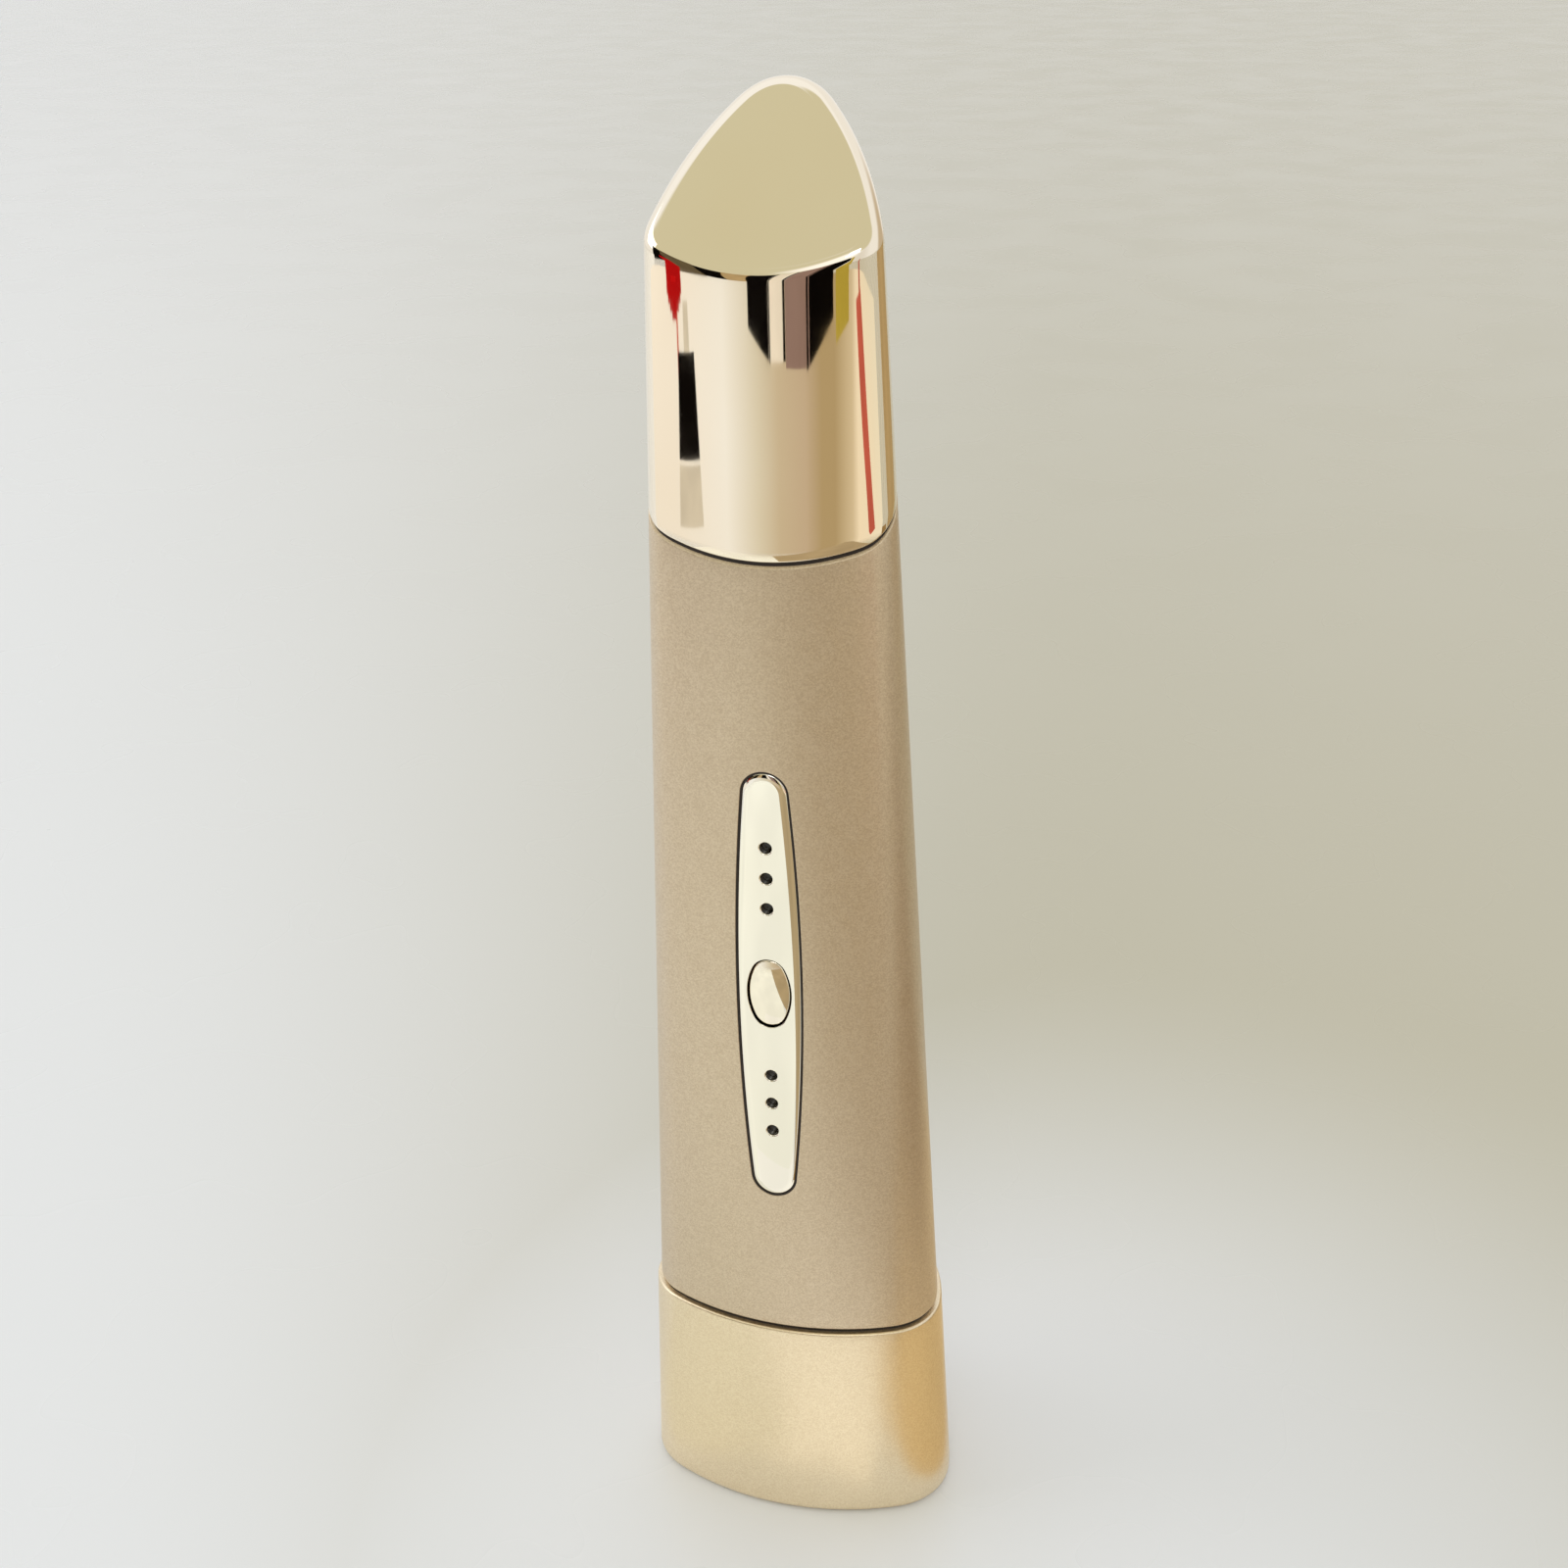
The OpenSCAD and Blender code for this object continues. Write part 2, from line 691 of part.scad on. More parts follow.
// Button: an oval cap with a domed face, a flange that holds it in, and a stem to the switch
module power_button() {
    color([0.95, 0.84, 0.66])
        union() {
            intersection() {
                across(front_line - cut, flange_y) button_outline(0);
                translate([0, front_line - crown_proud + crown_across, plate_z]) crown_spindle();
            }
            across(flange_y, flange_y + flange_t) button_outline(flange_rim);
            cross_bar(plate_z, flange_y + flange_t, plunger_y, plunger_r);
        }
}

module switch_plunger() {
    color([0.12, 0.12, 0.12])
        cross_bar(plate_z, plunger_y, plunger_y + plunger_out + plunger_in, plunger_r);
}

module tact_switch() {
    color([0.75, 0.76, 0.78])
        difference() {
            on_board(0, plate_z, switch_w, switch_l, switch_t);
            cross_bar(plate_z, switch_y - cut, switch_y + plunger_in + button_travel + touch,
                plunger_r + plunger_gap);
        }
}

// Smoked light guide: a bar behind the sleeve with three pins to the holes and three to the lamps
module light_guide(side) {
    bar_y0 = front_line + sleeve_wall + touch;
    bar_y1 = bar_y0 + guide_t;
    bar_half = lamp_pitch + lamp_d;
    mid_z = plate_z + side * lamp_offset;
    union() {
        block([-guide_w / 2, bar_y0, mid_z - bar_half], [guide_w / 2, bar_y1, mid_z + bar_half]);
        for (k = [-1 : 1]) {
            cross_bar(mid_z + k * lamp_pitch, front_line + pin_sunk, bar_y0, pin_r);
            cross_bar(mid_z + k * lamp_pitch, bar_y1, board_y - led_t - touch, lamp_r);
        }
    }
}

module light_guide_upper() {
    color([0.10, 0.09, 0.09]) light_guide(1);
}

module light_guide_lower() {
    color([0.10, 0.09, 0.09]) light_guide(-1);
}

module indicator_leds() {
    color([0.95, 0.93, 0.80])
        for (z = lamp_zs) {
            on_board(0, z, led_w, led_l, led_t);
        }
}

// ---- Boards -----------------------------------------------------------------------------------
// Small part on the front of the main board, its middle at x and z
module on_board(x, z, w, l, t) {
    block([x - w / 2, board_y - t, z - l / 2], [x + w / 2, board_y, z + l / 2]);
}

module main_board() {
    color([0.10, 0.35, 0.20])
        difference() {
            block([-board_w / 2, board_y, board_z0], [board_w / 2, board_y + board_t, board_z1]);
            for (z = board_screw_zs) {
                cross_bar(z, board_y - cut, board_y + board_t + cut, board_hole_r);
            }
        }
}

module board_chips() {
    color([0.10, 0.10, 0.11])
        for (z = chip_zs) {
            on_board(big_chip_x, z, big_chip_w, big_chip_w, big_chip_t);
            on_board(small_chip_x, z, small_chip_w, small_chip_w, small_chip_t);
        }
}

module board_connectors() {
    color([0.92, 0.90, 0.84])
        for (z = connector_zs) for (side = [-1, 1]) {
            on_board(side * connector_x, z, connector_w, connector_l, connector_t);
        }
}

module board_screws() {
    color([0.75, 0.75, 0.77])
        for (z = board_screw_zs) {
            cross_bar(z, board_y - board_screw_head_t, board_y, board_screw_head_r);
            cross_bar(z, board_y - touch, spine_y1, board_screw_r);
        }
}

// ---- Inner frame ----------------------------------------------------------------------------------
// Two upright walls, one on each side, with their inner faces at x
module side_walls(x, t, y0, y1, z0, z1) {
    for (side = [-1, 1]) {
        translate([side * (x + t / 2), 0, 0])
            block([-t / 2, y0, z0], [t / 2, y1, z1]);
    }
}

// Upright tray that holds the battery by its sides and ends
module battery_tray() {
    tray_x = battery_w / 2 + tray_gap;
    low = battery_z0 - tray_gap - tray_t;
    high = battery_z1 + tray_gap;
    side_walls(tray_x, tray_t, spine_y0, spine_y1 + tray_deep, low, high + tray_t);
    for (z = [low, high]) {
        block([-tray_x, spine_y0, z], [tray_x, spine_y1 + tray_end_deep, z + tray_t]);
    }
}

// Everything that is open in the frame
module frame_openings() {
    translate([0, motor_y, cup_z0 + cup_floor])
        cylinder(h = cup_z1, r = cup_r - cup_wall);
    block([-cup_r - cut, motor_y - cup_slot, cup_z0 + cup_floor],
        [0, motor_y + cup_slot, cup_z1 + cut]);
    block([-wire_window_x, spine_y0 - cut, foot_z1 + 2.6],
        [wire_window_x, spine_y1 + cut, board_z0 - 0.6]);
    block([-foot_window[0], -foot_window[1], foot_z0 - cut],
        [foot_window[0], foot_window[1], foot_z1 + cut]);
    for (z = board_screw_zs) {
        cross_bar(z, spine_y0 - cut, spine_y1 + cut, board_screw_r + screw_gap);
    }
    for (side = [-1, 1]) {
        translate([side * boss_x, boss_y, foot_z0 - cut]) {
            cylinder(h = foot_t + 2 * cut, r = screw_r + touch);
            cylinder(h = cut + screw_head_t + touch, r = screw_head_r + touch);
        }
    }
    for (span = [
        [hook_front_y - cut, hook_front_y + hook_t + hook_gap],
        [hook_back_y - hook_gap, hook_back_y + hook_t + cut]
    ]) {
        block([-hook_l / 2 - hook_gap, span[0], foot_z0 - cut],
            [hook_l / 2 + hook_gap, span[1], foot_z1 + cut]);
    }
}

// Moulded frame: foot plate, spine with rails for the board, battery tray and motor cup
module inner_frame() {
    color([0.86, 0.86, 0.84])
        difference() {
            union() {
                loft([level_ring(foot_z0, sleeve_inset), level_ring(foot_z1, sleeve_inset)]);
                block([-rail_x - rail_t, spine_y0, foot_z1 - touch],
                    [rail_x + rail_t, spine_y1, cup_z0 + touch]);
                side_walls(rail_x, rail_t, board_y - rail_lip, spine_y1, foot_z1 - touch, board_z1);
                battery_tray();
                translate([0, motor_y, cup_z0])
                    cylinder(h = cup_z1 - cup_z0, r = cup_r);
            }
            frame_openings();
        }
}

module frame_screws() {
    color([0.75, 0.75, 0.77])
        for (side = [-1, 1]) {
            translate([side * boss_x, boss_y, foot_z0 + touch]) {
                cylinder(h = screw_head_t, r = screw_head_r);
                cylinder(h = screw_l, r = screw_r);
            }
        }
}

module battery() {
    edge = battery_edge_r;
    color([0.72, 0.74, 0.78])
        translate([0, battery_y0 + battery_t / 2, battery_z0])
            linear_extrude(battery_l)
                union() {
                    square([battery_w - 2 * edge, battery_t], center = true);
                    square([battery_w, battery_t - 2 * edge], center = true);
                    for (x = [-1, 1]) for (y = [-1, 1]) {
                        translate([x * (battery_w / 2 - edge), y * (battery_t / 2 - edge)]) circle(edge);
                    }
                }
}

module battery_pad() {
    rim = 1.5;
    color([0.20, 0.20, 0.22])
        block([-battery_w / 2 + rim, spine_y1, battery_z0 + rim],
            [battery_w / 2 - rim, battery_y0, battery_z1 - rim]);
}

// ---- Vibration motor ---------------------------------------------------------------------------
module motor_boot() {
    color([0.16, 0.16, 0.17])
        translate([0, motor_y, motor_z0])
            difference() {
                cylinder(h = motor_l - 1, r = motor_d / 2 + boot_t);
                translate([0, 0, -cut]) cylinder(h = motor_l + 2 * cut, r = motor_d / 2);
            }
}

// Steel can, hollow, with the shaft's bearing bore in its top
module motor_can() {
    color([0.78, 0.79, 0.80])
        translate([0, motor_y, motor_z0])
            difference() {
                cylinder(h = motor_l, r = motor_d / 2);
                translate([0, 0, -cut])
                    cylinder(h = motor_l - can_top_t + cut, r = motor_d / 2 - can_wall);
                translate([0, 0, -cut])
                    cylinder(h = motor_l + 2 * cut, r = shaft_r + shaft_gap);
            }
}

module motor_end_cap() {
    color([0.90, 0.90, 0.88])
        translate([0, motor_y, motor_z0 - motor_cap_t])
            difference() {
                cylinder(h = motor_cap_t, r = motor_d / 2);
                translate([0, 0, bearing_floor]) cylinder(h = motor_cap_t, r = shaft_r + shaft_gap);
            }
}

// Shaft with its armature, from its bearing in the end cap to the top of the weight
module motor_shaft() {
    shaft_z0 = motor_z0 - motor_cap_t + bearing_floor + touch;
    color([0.70, 0.70, 0.72])
        translate([0, motor_y, 0]) {
            translate([0, 0, shaft_z0])
                cylinder(h = weight_z0 + weight_l - shaft_z0, r = shaft_r);
            translate([0, 0, motor_z0 + armature_end_gap])
                cylinder(h = motor_l - can_top_t - 2 * armature_end_gap,
                    r = motor_d / 2 - can_wall - armature_gap);
        }
}

module eccentric_weight() {
    color([0.72, 0.62, 0.36])
        translate([0, motor_y, weight_z0])
            difference() {
                union() {
                    cylinder(h = weight_l, r = shaft_r + hub_wall);
                    intersection() {
                        cylinder(h = weight_l, r = weight_r);
                        block([-weight_r, -weight_r, 0], [weight_r, 0, weight_l]);
                    }
                }
                translate([0, 0, -cut]) cylinder(h = weight_l + 2 * cut, r = shaft_r);
            }
}

// ---- Charging socket and end cap -----------------------------------------------------------------
module charge_board() {
    color([0.10, 0.35, 0.20])
        block([-charge_w / 2, charge_y0, charge_z0],
            [charge_w / 2, charge_y0 + board_t, charge_z0 + charge_l]);
}

module charge_port_shell() {
    color([0.80, 0.80, 0.82])
        difference() {
            round_slot(port_w, port_h, port_z0, port_z0 + port_l);
            round_slot(port_w - 2 * port_wall, port_h - 2 * port_wall,
                port_z0 - cut, port_z0 + port_l + cut);
        }
}

module charge_port_core() {
    port_z1 = port_z0 + port_l;
    color([0.08, 0.08, 0.09])
        union() {
            round_slot(port_w - 2 * port_wall, port_h - 2 * port_wall, port_z1 - core_l, port_z1);
            block([-tongue_w / 2, port_y - tongue_t / 2, port_z0 + tongue_sunk],
                [tongue_w / 2, port_y + tongue_t / 2, port_z1 - core_l / 2]);
        }
}

// Hook of the end cap that snaps over the frame's foot; its barb points to side
module cap_hook(y, side) {
    low = [-hook_l / 2, y, tenon_z - 2];
    high = [hook_l / 2, y + hook_t, foot_z1 + touch + 1];
    block(low, high);
    block([low[0], y - (side < 0 ? hook_barb : 0), foot_z1 + touch],
        [high[0], high[1] + (side > 0 ? hook_barb : 0), high[2]]);
}

// End cap: floor with the socket's opening, wall, shoulder, tenon, two hooks and the board's posts
module end_cap() {
    step_z = cap_h - 3.6;
    step_l = 2;
    wall_inset = cap_wall - cap_proud;
    tenon_inner = sleeve_inset + tenon_t;
    groove_half = board_t / 2 + 0.05;
    board_mid_y = charge_y0 + board_t / 2;
    color([0.90, 0.76, 0.56])
        difference() {
            union() {
                loft(concat(
                    [for (k = [0 : edge_n - 1]) let (a = 90 * k / edge_n)
                        level_ring(cap_edge_r * (1 - cos(a)), cap_edge_r * (1 - sin(a)) - cap_proud)],
                    [
                        level_ring(cap_edge_r, -cap_proud),
                        level_ring(cap_h, -cap_proud),
                        level_ring(cap_h, sleeve_inset),
                        level_ring(tenon_z, sleeve_inset),
                        level_ring(tenon_z, tenon_inner),
                        level_ring(step_z + step_l, tenon_inner),
                        level_ring(step_z, wall_inset),
                        level_ring(cap_floor, wall_inset)
                    ]
                ));
                cap_hook(hook_front_y, 1);
                cap_hook(hook_back_y, -1);
                for (side = [-1, 1]) {
                    translate([side * charge_w / 2, board_mid_y, 0])
                        block([-post_w / 2, -post_t / 2, cap_floor - touch],
                            [post_w / 2, post_t / 2, cap_floor + post_l]);
                }
            }
            round_slot(port_w + 2 * port_gap, port_h + 2 * port_gap, -cut, cap_floor + cut);
            block([-charge_w / 2 - touch / 2, board_mid_y - groove_half, charge_z0 - touch / 2],
                [charge_w / 2 + touch / 2, board_mid_y + groove_half, cap_floor + post_l + cut]);
        }
}

module end_seal() {
    color([0.08, 0.07, 0.07])
        loft_round([
            level_ring(cap_h, seal_inset),
            level_ring(sleeve_z0, seal_inset),
            level_ring(sleeve_z0, sleeve_wall),
            level_ring(cap_h, sleeve_wall)
        ]);
}

// ---- Leads ------------------------------------------------------------------------------------------
plug_gap = 0.25;
connector_y = board_y - connector_t / 2;
top_plug_z = board_z1 + plug_gap;
low_plug_z = board_z0 - plug_gap;
lead_pair = [-lead_gap / 2, lead_gap / 2];

// Middle of the room between the motor's cup and the carrier's wall at height z
function beside_cup(z) = [
    (cup_r + half_width(z) - sleeve_inset - carrier_wall) / 2, widest_y(z), z
];

module heater_leads() {
    weight_end = weight_z0 + weight_l;
    color([0.75, 0.15, 0.12])
        for (k = lead_pair) {
            lead([for (p = [
                [connector_x, connector_y, top_plug_z],
                [connector_x + 0.6, connector_y, top_plug_z + 2],
                beside_cup(cup_z0 + 5),
                beside_cup(motor_z1),
                [3.4, widest_y(weight_end), weight_end + 4],
                facet_spot(lead_hole_y, pad_deep + carrier_wall + 3),
                facet_spot(lead_hole_y, pad_deep + 0.5),
                facet_spot(lead_hole_y, film_end + plug_gap)
            ]) p + [k, 0, 0]], [0.1, 1, 0.1]);
        }
}

module motor_leads() {
    entry_x = -motor_d / 2 - plug_gap;
    entry_z = motor_z0 - motor_cap_t / 2;
    color([0.15, 0.25, 0.70])
        for (k = lead_pair) {
            lead([
                [-connector_x + k, connector_y, top_plug_z],
                [-connector_x - 1 + k, connector_y + 0.7, top_plug_z + 1.2],
                [-cup_r - 1.3 + 0.7 * k, motor_y - 1 - 0.7 * k, entry_z],
                [entry_x - 1.2, motor_y - k, entry_z],
                [entry_x, motor_y - k, entry_z]
            ], [0.1, 0.2, 1]);
        }
}

module battery_leads() {
    color([0.75, 0.15, 0.12])
        for (k = lead_pair) {
            lead([
                [k - 1, battery_y0 + 3.6, battery_z0 - plug_gap],
                [k - 1, battery_y0 + 3.2, battery_z0 - 2.6],
                [k - 1.4, spine_y0 + 0.4, board_z0 - 2.4],
                [1.8 - connector_x, connector_y + 0.4, board_z0 - 2.6 + k],
                [k - connector_x, connector_y, low_plug_z]
            ], [1, 0.1, 0.1]);
        }
}

module charge_leads() {
    board_mid_y = charge_y0 + board_t / 2;
    color([0.75, 0.15, 0.12])
        for (k = lead_pair) {
            lead([
                [connector_x + k, connector_y, low_plug_z],
                [connector_x + k - 0.2, connector_y, board_z0 - 1.6],
                [2.2 + k, connector_y + 1, board_z0 - 3.6],
                [1.8 + k, spine_y1, board_z0 - 3.8],
                [1.2 + k, -1, foot_z1 + 1.5],
                [0.6 + k, 0.4, foot_z0 - 1],
                [k, board_mid_y, charge_z0 + charge_l + 2.5],
                [k, board_mid_y, charge_z0 + charge_l + plug_gap]
            ], [1, 0.2, 0.1]);
        }
}

head_shell();
head_seal();
head_carrier();
heater_film();
heater_pad();
thermistor();
body_sleeve();
control_plate();
plate_adhesive();
power_button();
switch_plunger();
tact_switch();
light_guide_upper();
light_guide_lower();
indicator_leds();
main_board();
board_chips();
board_connectors();
board_screws();
inner_frame();
frame_screws();
battery();
battery_pad();
motor_boot();
motor_can();
motor_end_cap();
motor_shaft();
eccentric_weight();
charge_board();
charge_port_shell();
charge_port_core();
end_cap();
end_seal();
heater_leads();
motor_leads();
battery_leads();
charge_leads();
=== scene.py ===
"""Looks of the heated massager wand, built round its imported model.

Outlines and cards are in millimetres, as a designer states them; make_piece() and stage_mesh() turn
them into metres. X is to the right seen from the front, the front faces -Y and Z is up.
"""
import json
import math
from functools import partial

import bmesh
import bpy
from mathutils import Matrix, Vector
from mathutils.bvhtree import BVHTree
from mathutils.interpolate import poly_3d_calc


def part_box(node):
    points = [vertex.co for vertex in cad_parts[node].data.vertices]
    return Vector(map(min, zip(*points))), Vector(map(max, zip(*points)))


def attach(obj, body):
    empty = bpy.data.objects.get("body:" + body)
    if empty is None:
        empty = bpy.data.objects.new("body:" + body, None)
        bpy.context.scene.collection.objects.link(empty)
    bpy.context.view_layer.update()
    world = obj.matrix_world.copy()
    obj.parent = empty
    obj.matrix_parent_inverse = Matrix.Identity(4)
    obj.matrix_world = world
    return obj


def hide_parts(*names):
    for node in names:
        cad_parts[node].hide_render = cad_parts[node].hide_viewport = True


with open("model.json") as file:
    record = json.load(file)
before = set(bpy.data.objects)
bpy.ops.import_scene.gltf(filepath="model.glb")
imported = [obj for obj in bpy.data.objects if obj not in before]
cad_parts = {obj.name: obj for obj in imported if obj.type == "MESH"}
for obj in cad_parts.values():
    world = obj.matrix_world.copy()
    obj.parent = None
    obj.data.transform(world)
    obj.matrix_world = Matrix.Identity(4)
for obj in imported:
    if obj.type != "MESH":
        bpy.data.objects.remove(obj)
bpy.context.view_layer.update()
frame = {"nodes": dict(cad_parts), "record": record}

MM = 0.001

# ---- Driving sizes, as in the part's source (mm; angles in radians) ---------------------------------
TOTAL_H = 145.0
FRONT_R = 28.0
FLANK_R = 20.0
BASE_END = (31.8 / 2, 6.6, 17.6, 9.6)      # half width, corner radius, reach, ridge radius
TOP_END = (19.6 / 2, 2.2, 10.4, 6.0)
HEAD_LEN = 39.2
SEAM_TILT = math.radians(45)
FACET_TILT = math.radians(51.5)
FACET_EDGE_R = 1.7
HEAD_WALL = 1.5
SEAL_T = 0.3
SEAL_INSET = 0.25
SLEEVE_WALL = 1.5
SLIDE_GAP = 0.12
TOUCH = 0.1                 # gap between faces that meet without a fit
CAP_H = 23.6
CAP_PROUD = 0.4
CAP_WALL = 1.6
CAP_FLOOR = 2.0
CAP_EDGE_R = 0.8
END_SEAL_T = 0.4
TENON_WALL = 1.2
TENON_RISE = 1.1
STEP_DROP = 3.6             # from the cap's top down to the step inside it, and the step's length
STEP_L = 2.0
PLATE_Z = 63.0
PLATE_L = 45.8
PLATE_W = 6.2
PLATE_SIDE_R = 225.0
PLATE_T = 0.8
PLATE_GAP = 0.2
ADHESIVE_T = 0.1
LAMP_R = 0.65
LAMP_PITCH = 3.15
LAMP_OFFSET = 12.25
BUTTON_W = 4.0
BUTTON_L = 7.0
BUTTON_SIDE_R = 6.1
BUTTON_GAP = 0.2
BUTTON_CROWN = 0.3
CROWN_PROUD = 0.1
WINDOW_GAP = 0.2
WINDOW_LAND = 0.2
FLANGE_RIM = (PLATE_W - BUTTON_W) / 2 - WINDOW_GAP - WINDOW_LAND
FLANGE_T = 0.5
STEM_R = 0.8
PORT_W = 8.9
PORT_H = 3.2
PORT_GAP = 0.35

# ---- Finish of the edges (mm) -----------------------------------------------------------------------
SEAM_EDGE_R = 0.14          # edges beside the two black rings
CAP_TOP_EDGE_R = 0.25
PLATE_EDGE_W = 0.75         # soft edge of the plate: its width and its drop
PLATE_EDGE_DROP = 0.2
LIP_R = 0.05                # rolled lip of each opening in the plate and sleeve
LAMP_LIP_R = 0.12           # rolled lip of each lamp hole in the plate
LAMP_LIP_GROW = -0.06       # a hole with that lip has a narrower bore
BUTTON_EDGE_R = 0.10
ADHESIVE_SUNK = 0.09        # from the front face down to the black fill of the plate's gap
SLOT_EDGE_R = 0.2
OVERRUN = 0.5               # of a cutter past the plate
FLARE = 0.3                 # of a cutter where it leaves the surface
CUT_THROUGH = 4.0           # depth of a cutter that goes through the sleeve
ADHESIVE_CUT = 2.0          # depth of a cutter that goes through the adhesive
WINDOW_TOP = 0.5            # depth at which the window's cutter ends, inside the plate's pocket
# Distances in from a rolled edge of the rings that keep the face beside it flat
FACET_SUPPORTS = (0.02, 0.4)
INNER_SUPPORT = 0.2
FOOT_SUPPORTS = (0.9, 0.05)

RING_N = 480                # points round the handle
EDGE_N = 28                 # steps round the massage face's edge
SEAM_EDGE_N = 6
CAP_EDGE_N = 12
PLATE_EDGE_N = 10
BUTTON_EDGE_N = 8
LIP_N = 6
SPAN_N = 24                 # steps along a long face
SIDE_N = 48                 # steps along the plate's or button's long side
END_N = 40                  # steps round its end
LAMP_N = 40                 # steps round a lamp hole
SLOT_END_N = 24             # steps round each end of the socket's opening


# ---- Section of the handle ----------------------------------------------------------------------
def heading(v):
    return math.degrees(math.atan2(v.y, v.x))


class Section:
    """One end of the form: front arc, corner, flank and back ridge, each tangent to the next."""

    def __init__(self, half_w, corner_r, reach, ridge_r):
        self.radii = (FRONT_R, corner_r, FLANK_R, ridge_r)
        front = Vector((0, math.sqrt((FRONT_R - corner_r) ** 2 - (half_w - corner_r) ** 2)))
        corner = Vector((half_w - corner_r, 0))
        ridge = Vector((0, reach - ridge_r))
        step = ridge - corner
        span = step.length
        to_corner = FLANK_R - corner_r
        to_ridge = FLANK_R - ridge_r
        along = (to_corner ** 2 - to_ridge ** 2 + span ** 2) / (2 * span)
        across = math.sqrt(to_corner ** 2 - along ** 2)
        flank = corner + step / span * along + Vector((-step.y, step.x)) / span * across
        self.centres = (front, corner, flank, ridge)
        self.turns = (heading(corner - front), heading(corner - flank), heading(ridge - flank))
        self.depth = FRONT_R - front.y + reach

    def arc(self, f):
        return sum(f > turn for turn in self.turns)

    def point(self, f, inset):
        """Point whose outward normal has the angle f, moved in by inset."""
        if f > 90:
            p = self.point(180 - f, inset)
            return Vector((-p.x, p.y))
        k = self.arc(f)
        way = Vector((math.cos(math.radians(f)), math.sin(math.radians(f))))
        p = self.centres[k] + (self.radii[k] - inset) * way
        return p + Vector((0, FRONT_AXIS - self.centres[0].y))


BASE = Section(*BASE_END)
TOP = Section(*TOP_END)
FRONT_LINE = -BASE.depth / 2
FRONT_AXIS = FRONT_LINE + FRONT_R


def spread_normals():
    """Normal angles round the section, spread half by angle and half by length of arc."""
    fine = 3600
    angles = [-90 + 360 * i / fine for i in range(fine)]
    folded = [f if f <= 90 else 180 - f for f in angles]
    lengths = [BASE.radii[BASE.arc(f)] + TOP.radii[TOP.arc(f)] for f in folded]
    whole = sum(lengths)
    shares = [0.0]
    for length in lengths:
        shares.append(shares[-1] + 0.5 / fine + 0.5 * length / whole)
    found = []
    k = 0
    for i in range(RING_N):
        target = i / RING_N
        while shares[k + 1] < target:
            k += 1
        part = (target - shares[k]) / (shares[k + 1] - shares[k])
        found.append(-90 + 360 * (k + part) / fine)
    return found


NORMALS = spread_normals()


def face_point(f, z, tilt, inset):
    """Point of the handle's face, moved in by inset, on a plane that rises to the back."""
    low = BASE.point(f, inset)
    high = TOP.point(f, inset)
    slope = math.tan(tilt)
    share = (z + slope * (low.y - FRONT_LINE)) / (TOTAL_H - slope * (high.y - low.y))
    p = low.lerp(high, share)
    return Vector((p.x, p.y, share * TOTAL_H))


def face_normal(f):
    level = Vector((math.cos(math.radians(f)), math.sin(math.radians(f))))
    lean = (TOP.point(f, 0) - BASE.point(f, 0)).dot(level) / TOTAL_H
    return Vector((level.x, level.y, -lean)).normalized()


def tilted_ring(z, tilt, inset):
    return [face_point(f, z, tilt, inset) for f in NORMALS]


def level_ring(z, inset):
    return tilted_ring(z, 0, inset)


def plane_normal(tilt):
    return Vector((0, -math.sin(tilt), math.cos(tilt)))


def turned(a, b, share):
    """Direction on the arc from the unit vector a to the unit vector b."""
    whole = a.angle(b)
    return (math.sin((1 - share) * whole) * a + math.sin(share * whole) * b) / math.sin(whole)


def edge_rings(z, tilt, r, side, steps, cover=0.0):
    """Rings of a rolled edge of radius r between the handle's face and a tilted plane.

    z is the plane's height at the front line. side is 1 where the solid lies under the plane and
    -1 where it lies over it. cover moves the edge in from the handle's face.
    """
    ahead = side * plane_normal(tilt)
    centre_z = z - side * r / math.cos(tilt)
    rings = []
    for k in range(steps + 1):
        ring = []
        for f in NORMALS:
            centre = face_point(f, centre_z, tilt, r + cover)
            ring.append(centre + r * turned(face_normal(f), ahead, k / steps))
        rings.append(ring)
    return rings


def between(first, last, steps):
    """Rings from first to last, without last."""
    return [[a.lerp(b, k / steps) for a, b in zip(first, last)] for k in range(steps)]


# ---- Meshes -----------------------------------------------------------------------------------------
SHARP_OVER = math.radians(35)          # an edge is shown sharp over this angle


def loft(rings, round_trip=False):
    """Points and faces of a solid through rings; its ends are closed, or joined to each other."""
    count = len(rings[0])
    points = [p for ring in rings for p in ring]
    faces = []
    pairs = [(k, k + 1) for k in range(len(rings) - 1)]
    if round_trip:
        pairs.append((len(rings) - 1, 0))
    else:
        faces.append(list(range(count)))
        faces.append([(len(rings) - 1) * count + i for i in reversed(range(count))])
    for k, m in pairs:
        for i in range(count):
            j = (i + 1) % count
            faces.append([k * count + i, m * count + i, m * count + j, k * count + j])
    return points, faces


def make_piece(name, shape):
    """Object from points in millimetres and faces, shaded smooth up to the angle SHARP_OVER."""
    points, faces = shape
    mesh = bpy.data.meshes.new(name)
    mesh.from_pydata([p * MM for p in points], [], faces)
    mesh.validate()
    piece = bpy.data.objects.new(name, mesh)
    bpy.context.scene.collection.objects.link(piece)
    outward(mesh)
    shade(mesh)
    return piece


def outward(mesh):
    """Turns every face of a closed mesh to the outside."""
    work = bmesh.new()
    work.from_mesh(mesh)
    bmesh.ops.recalc_face_normals(work, faces=work.faces)
    work.to_mesh(mesh)
    work.free()


def shade(mesh):
    mesh.shade_smooth()
    mesh.set_sharp_from_angle(angle=SHARP_OVER)


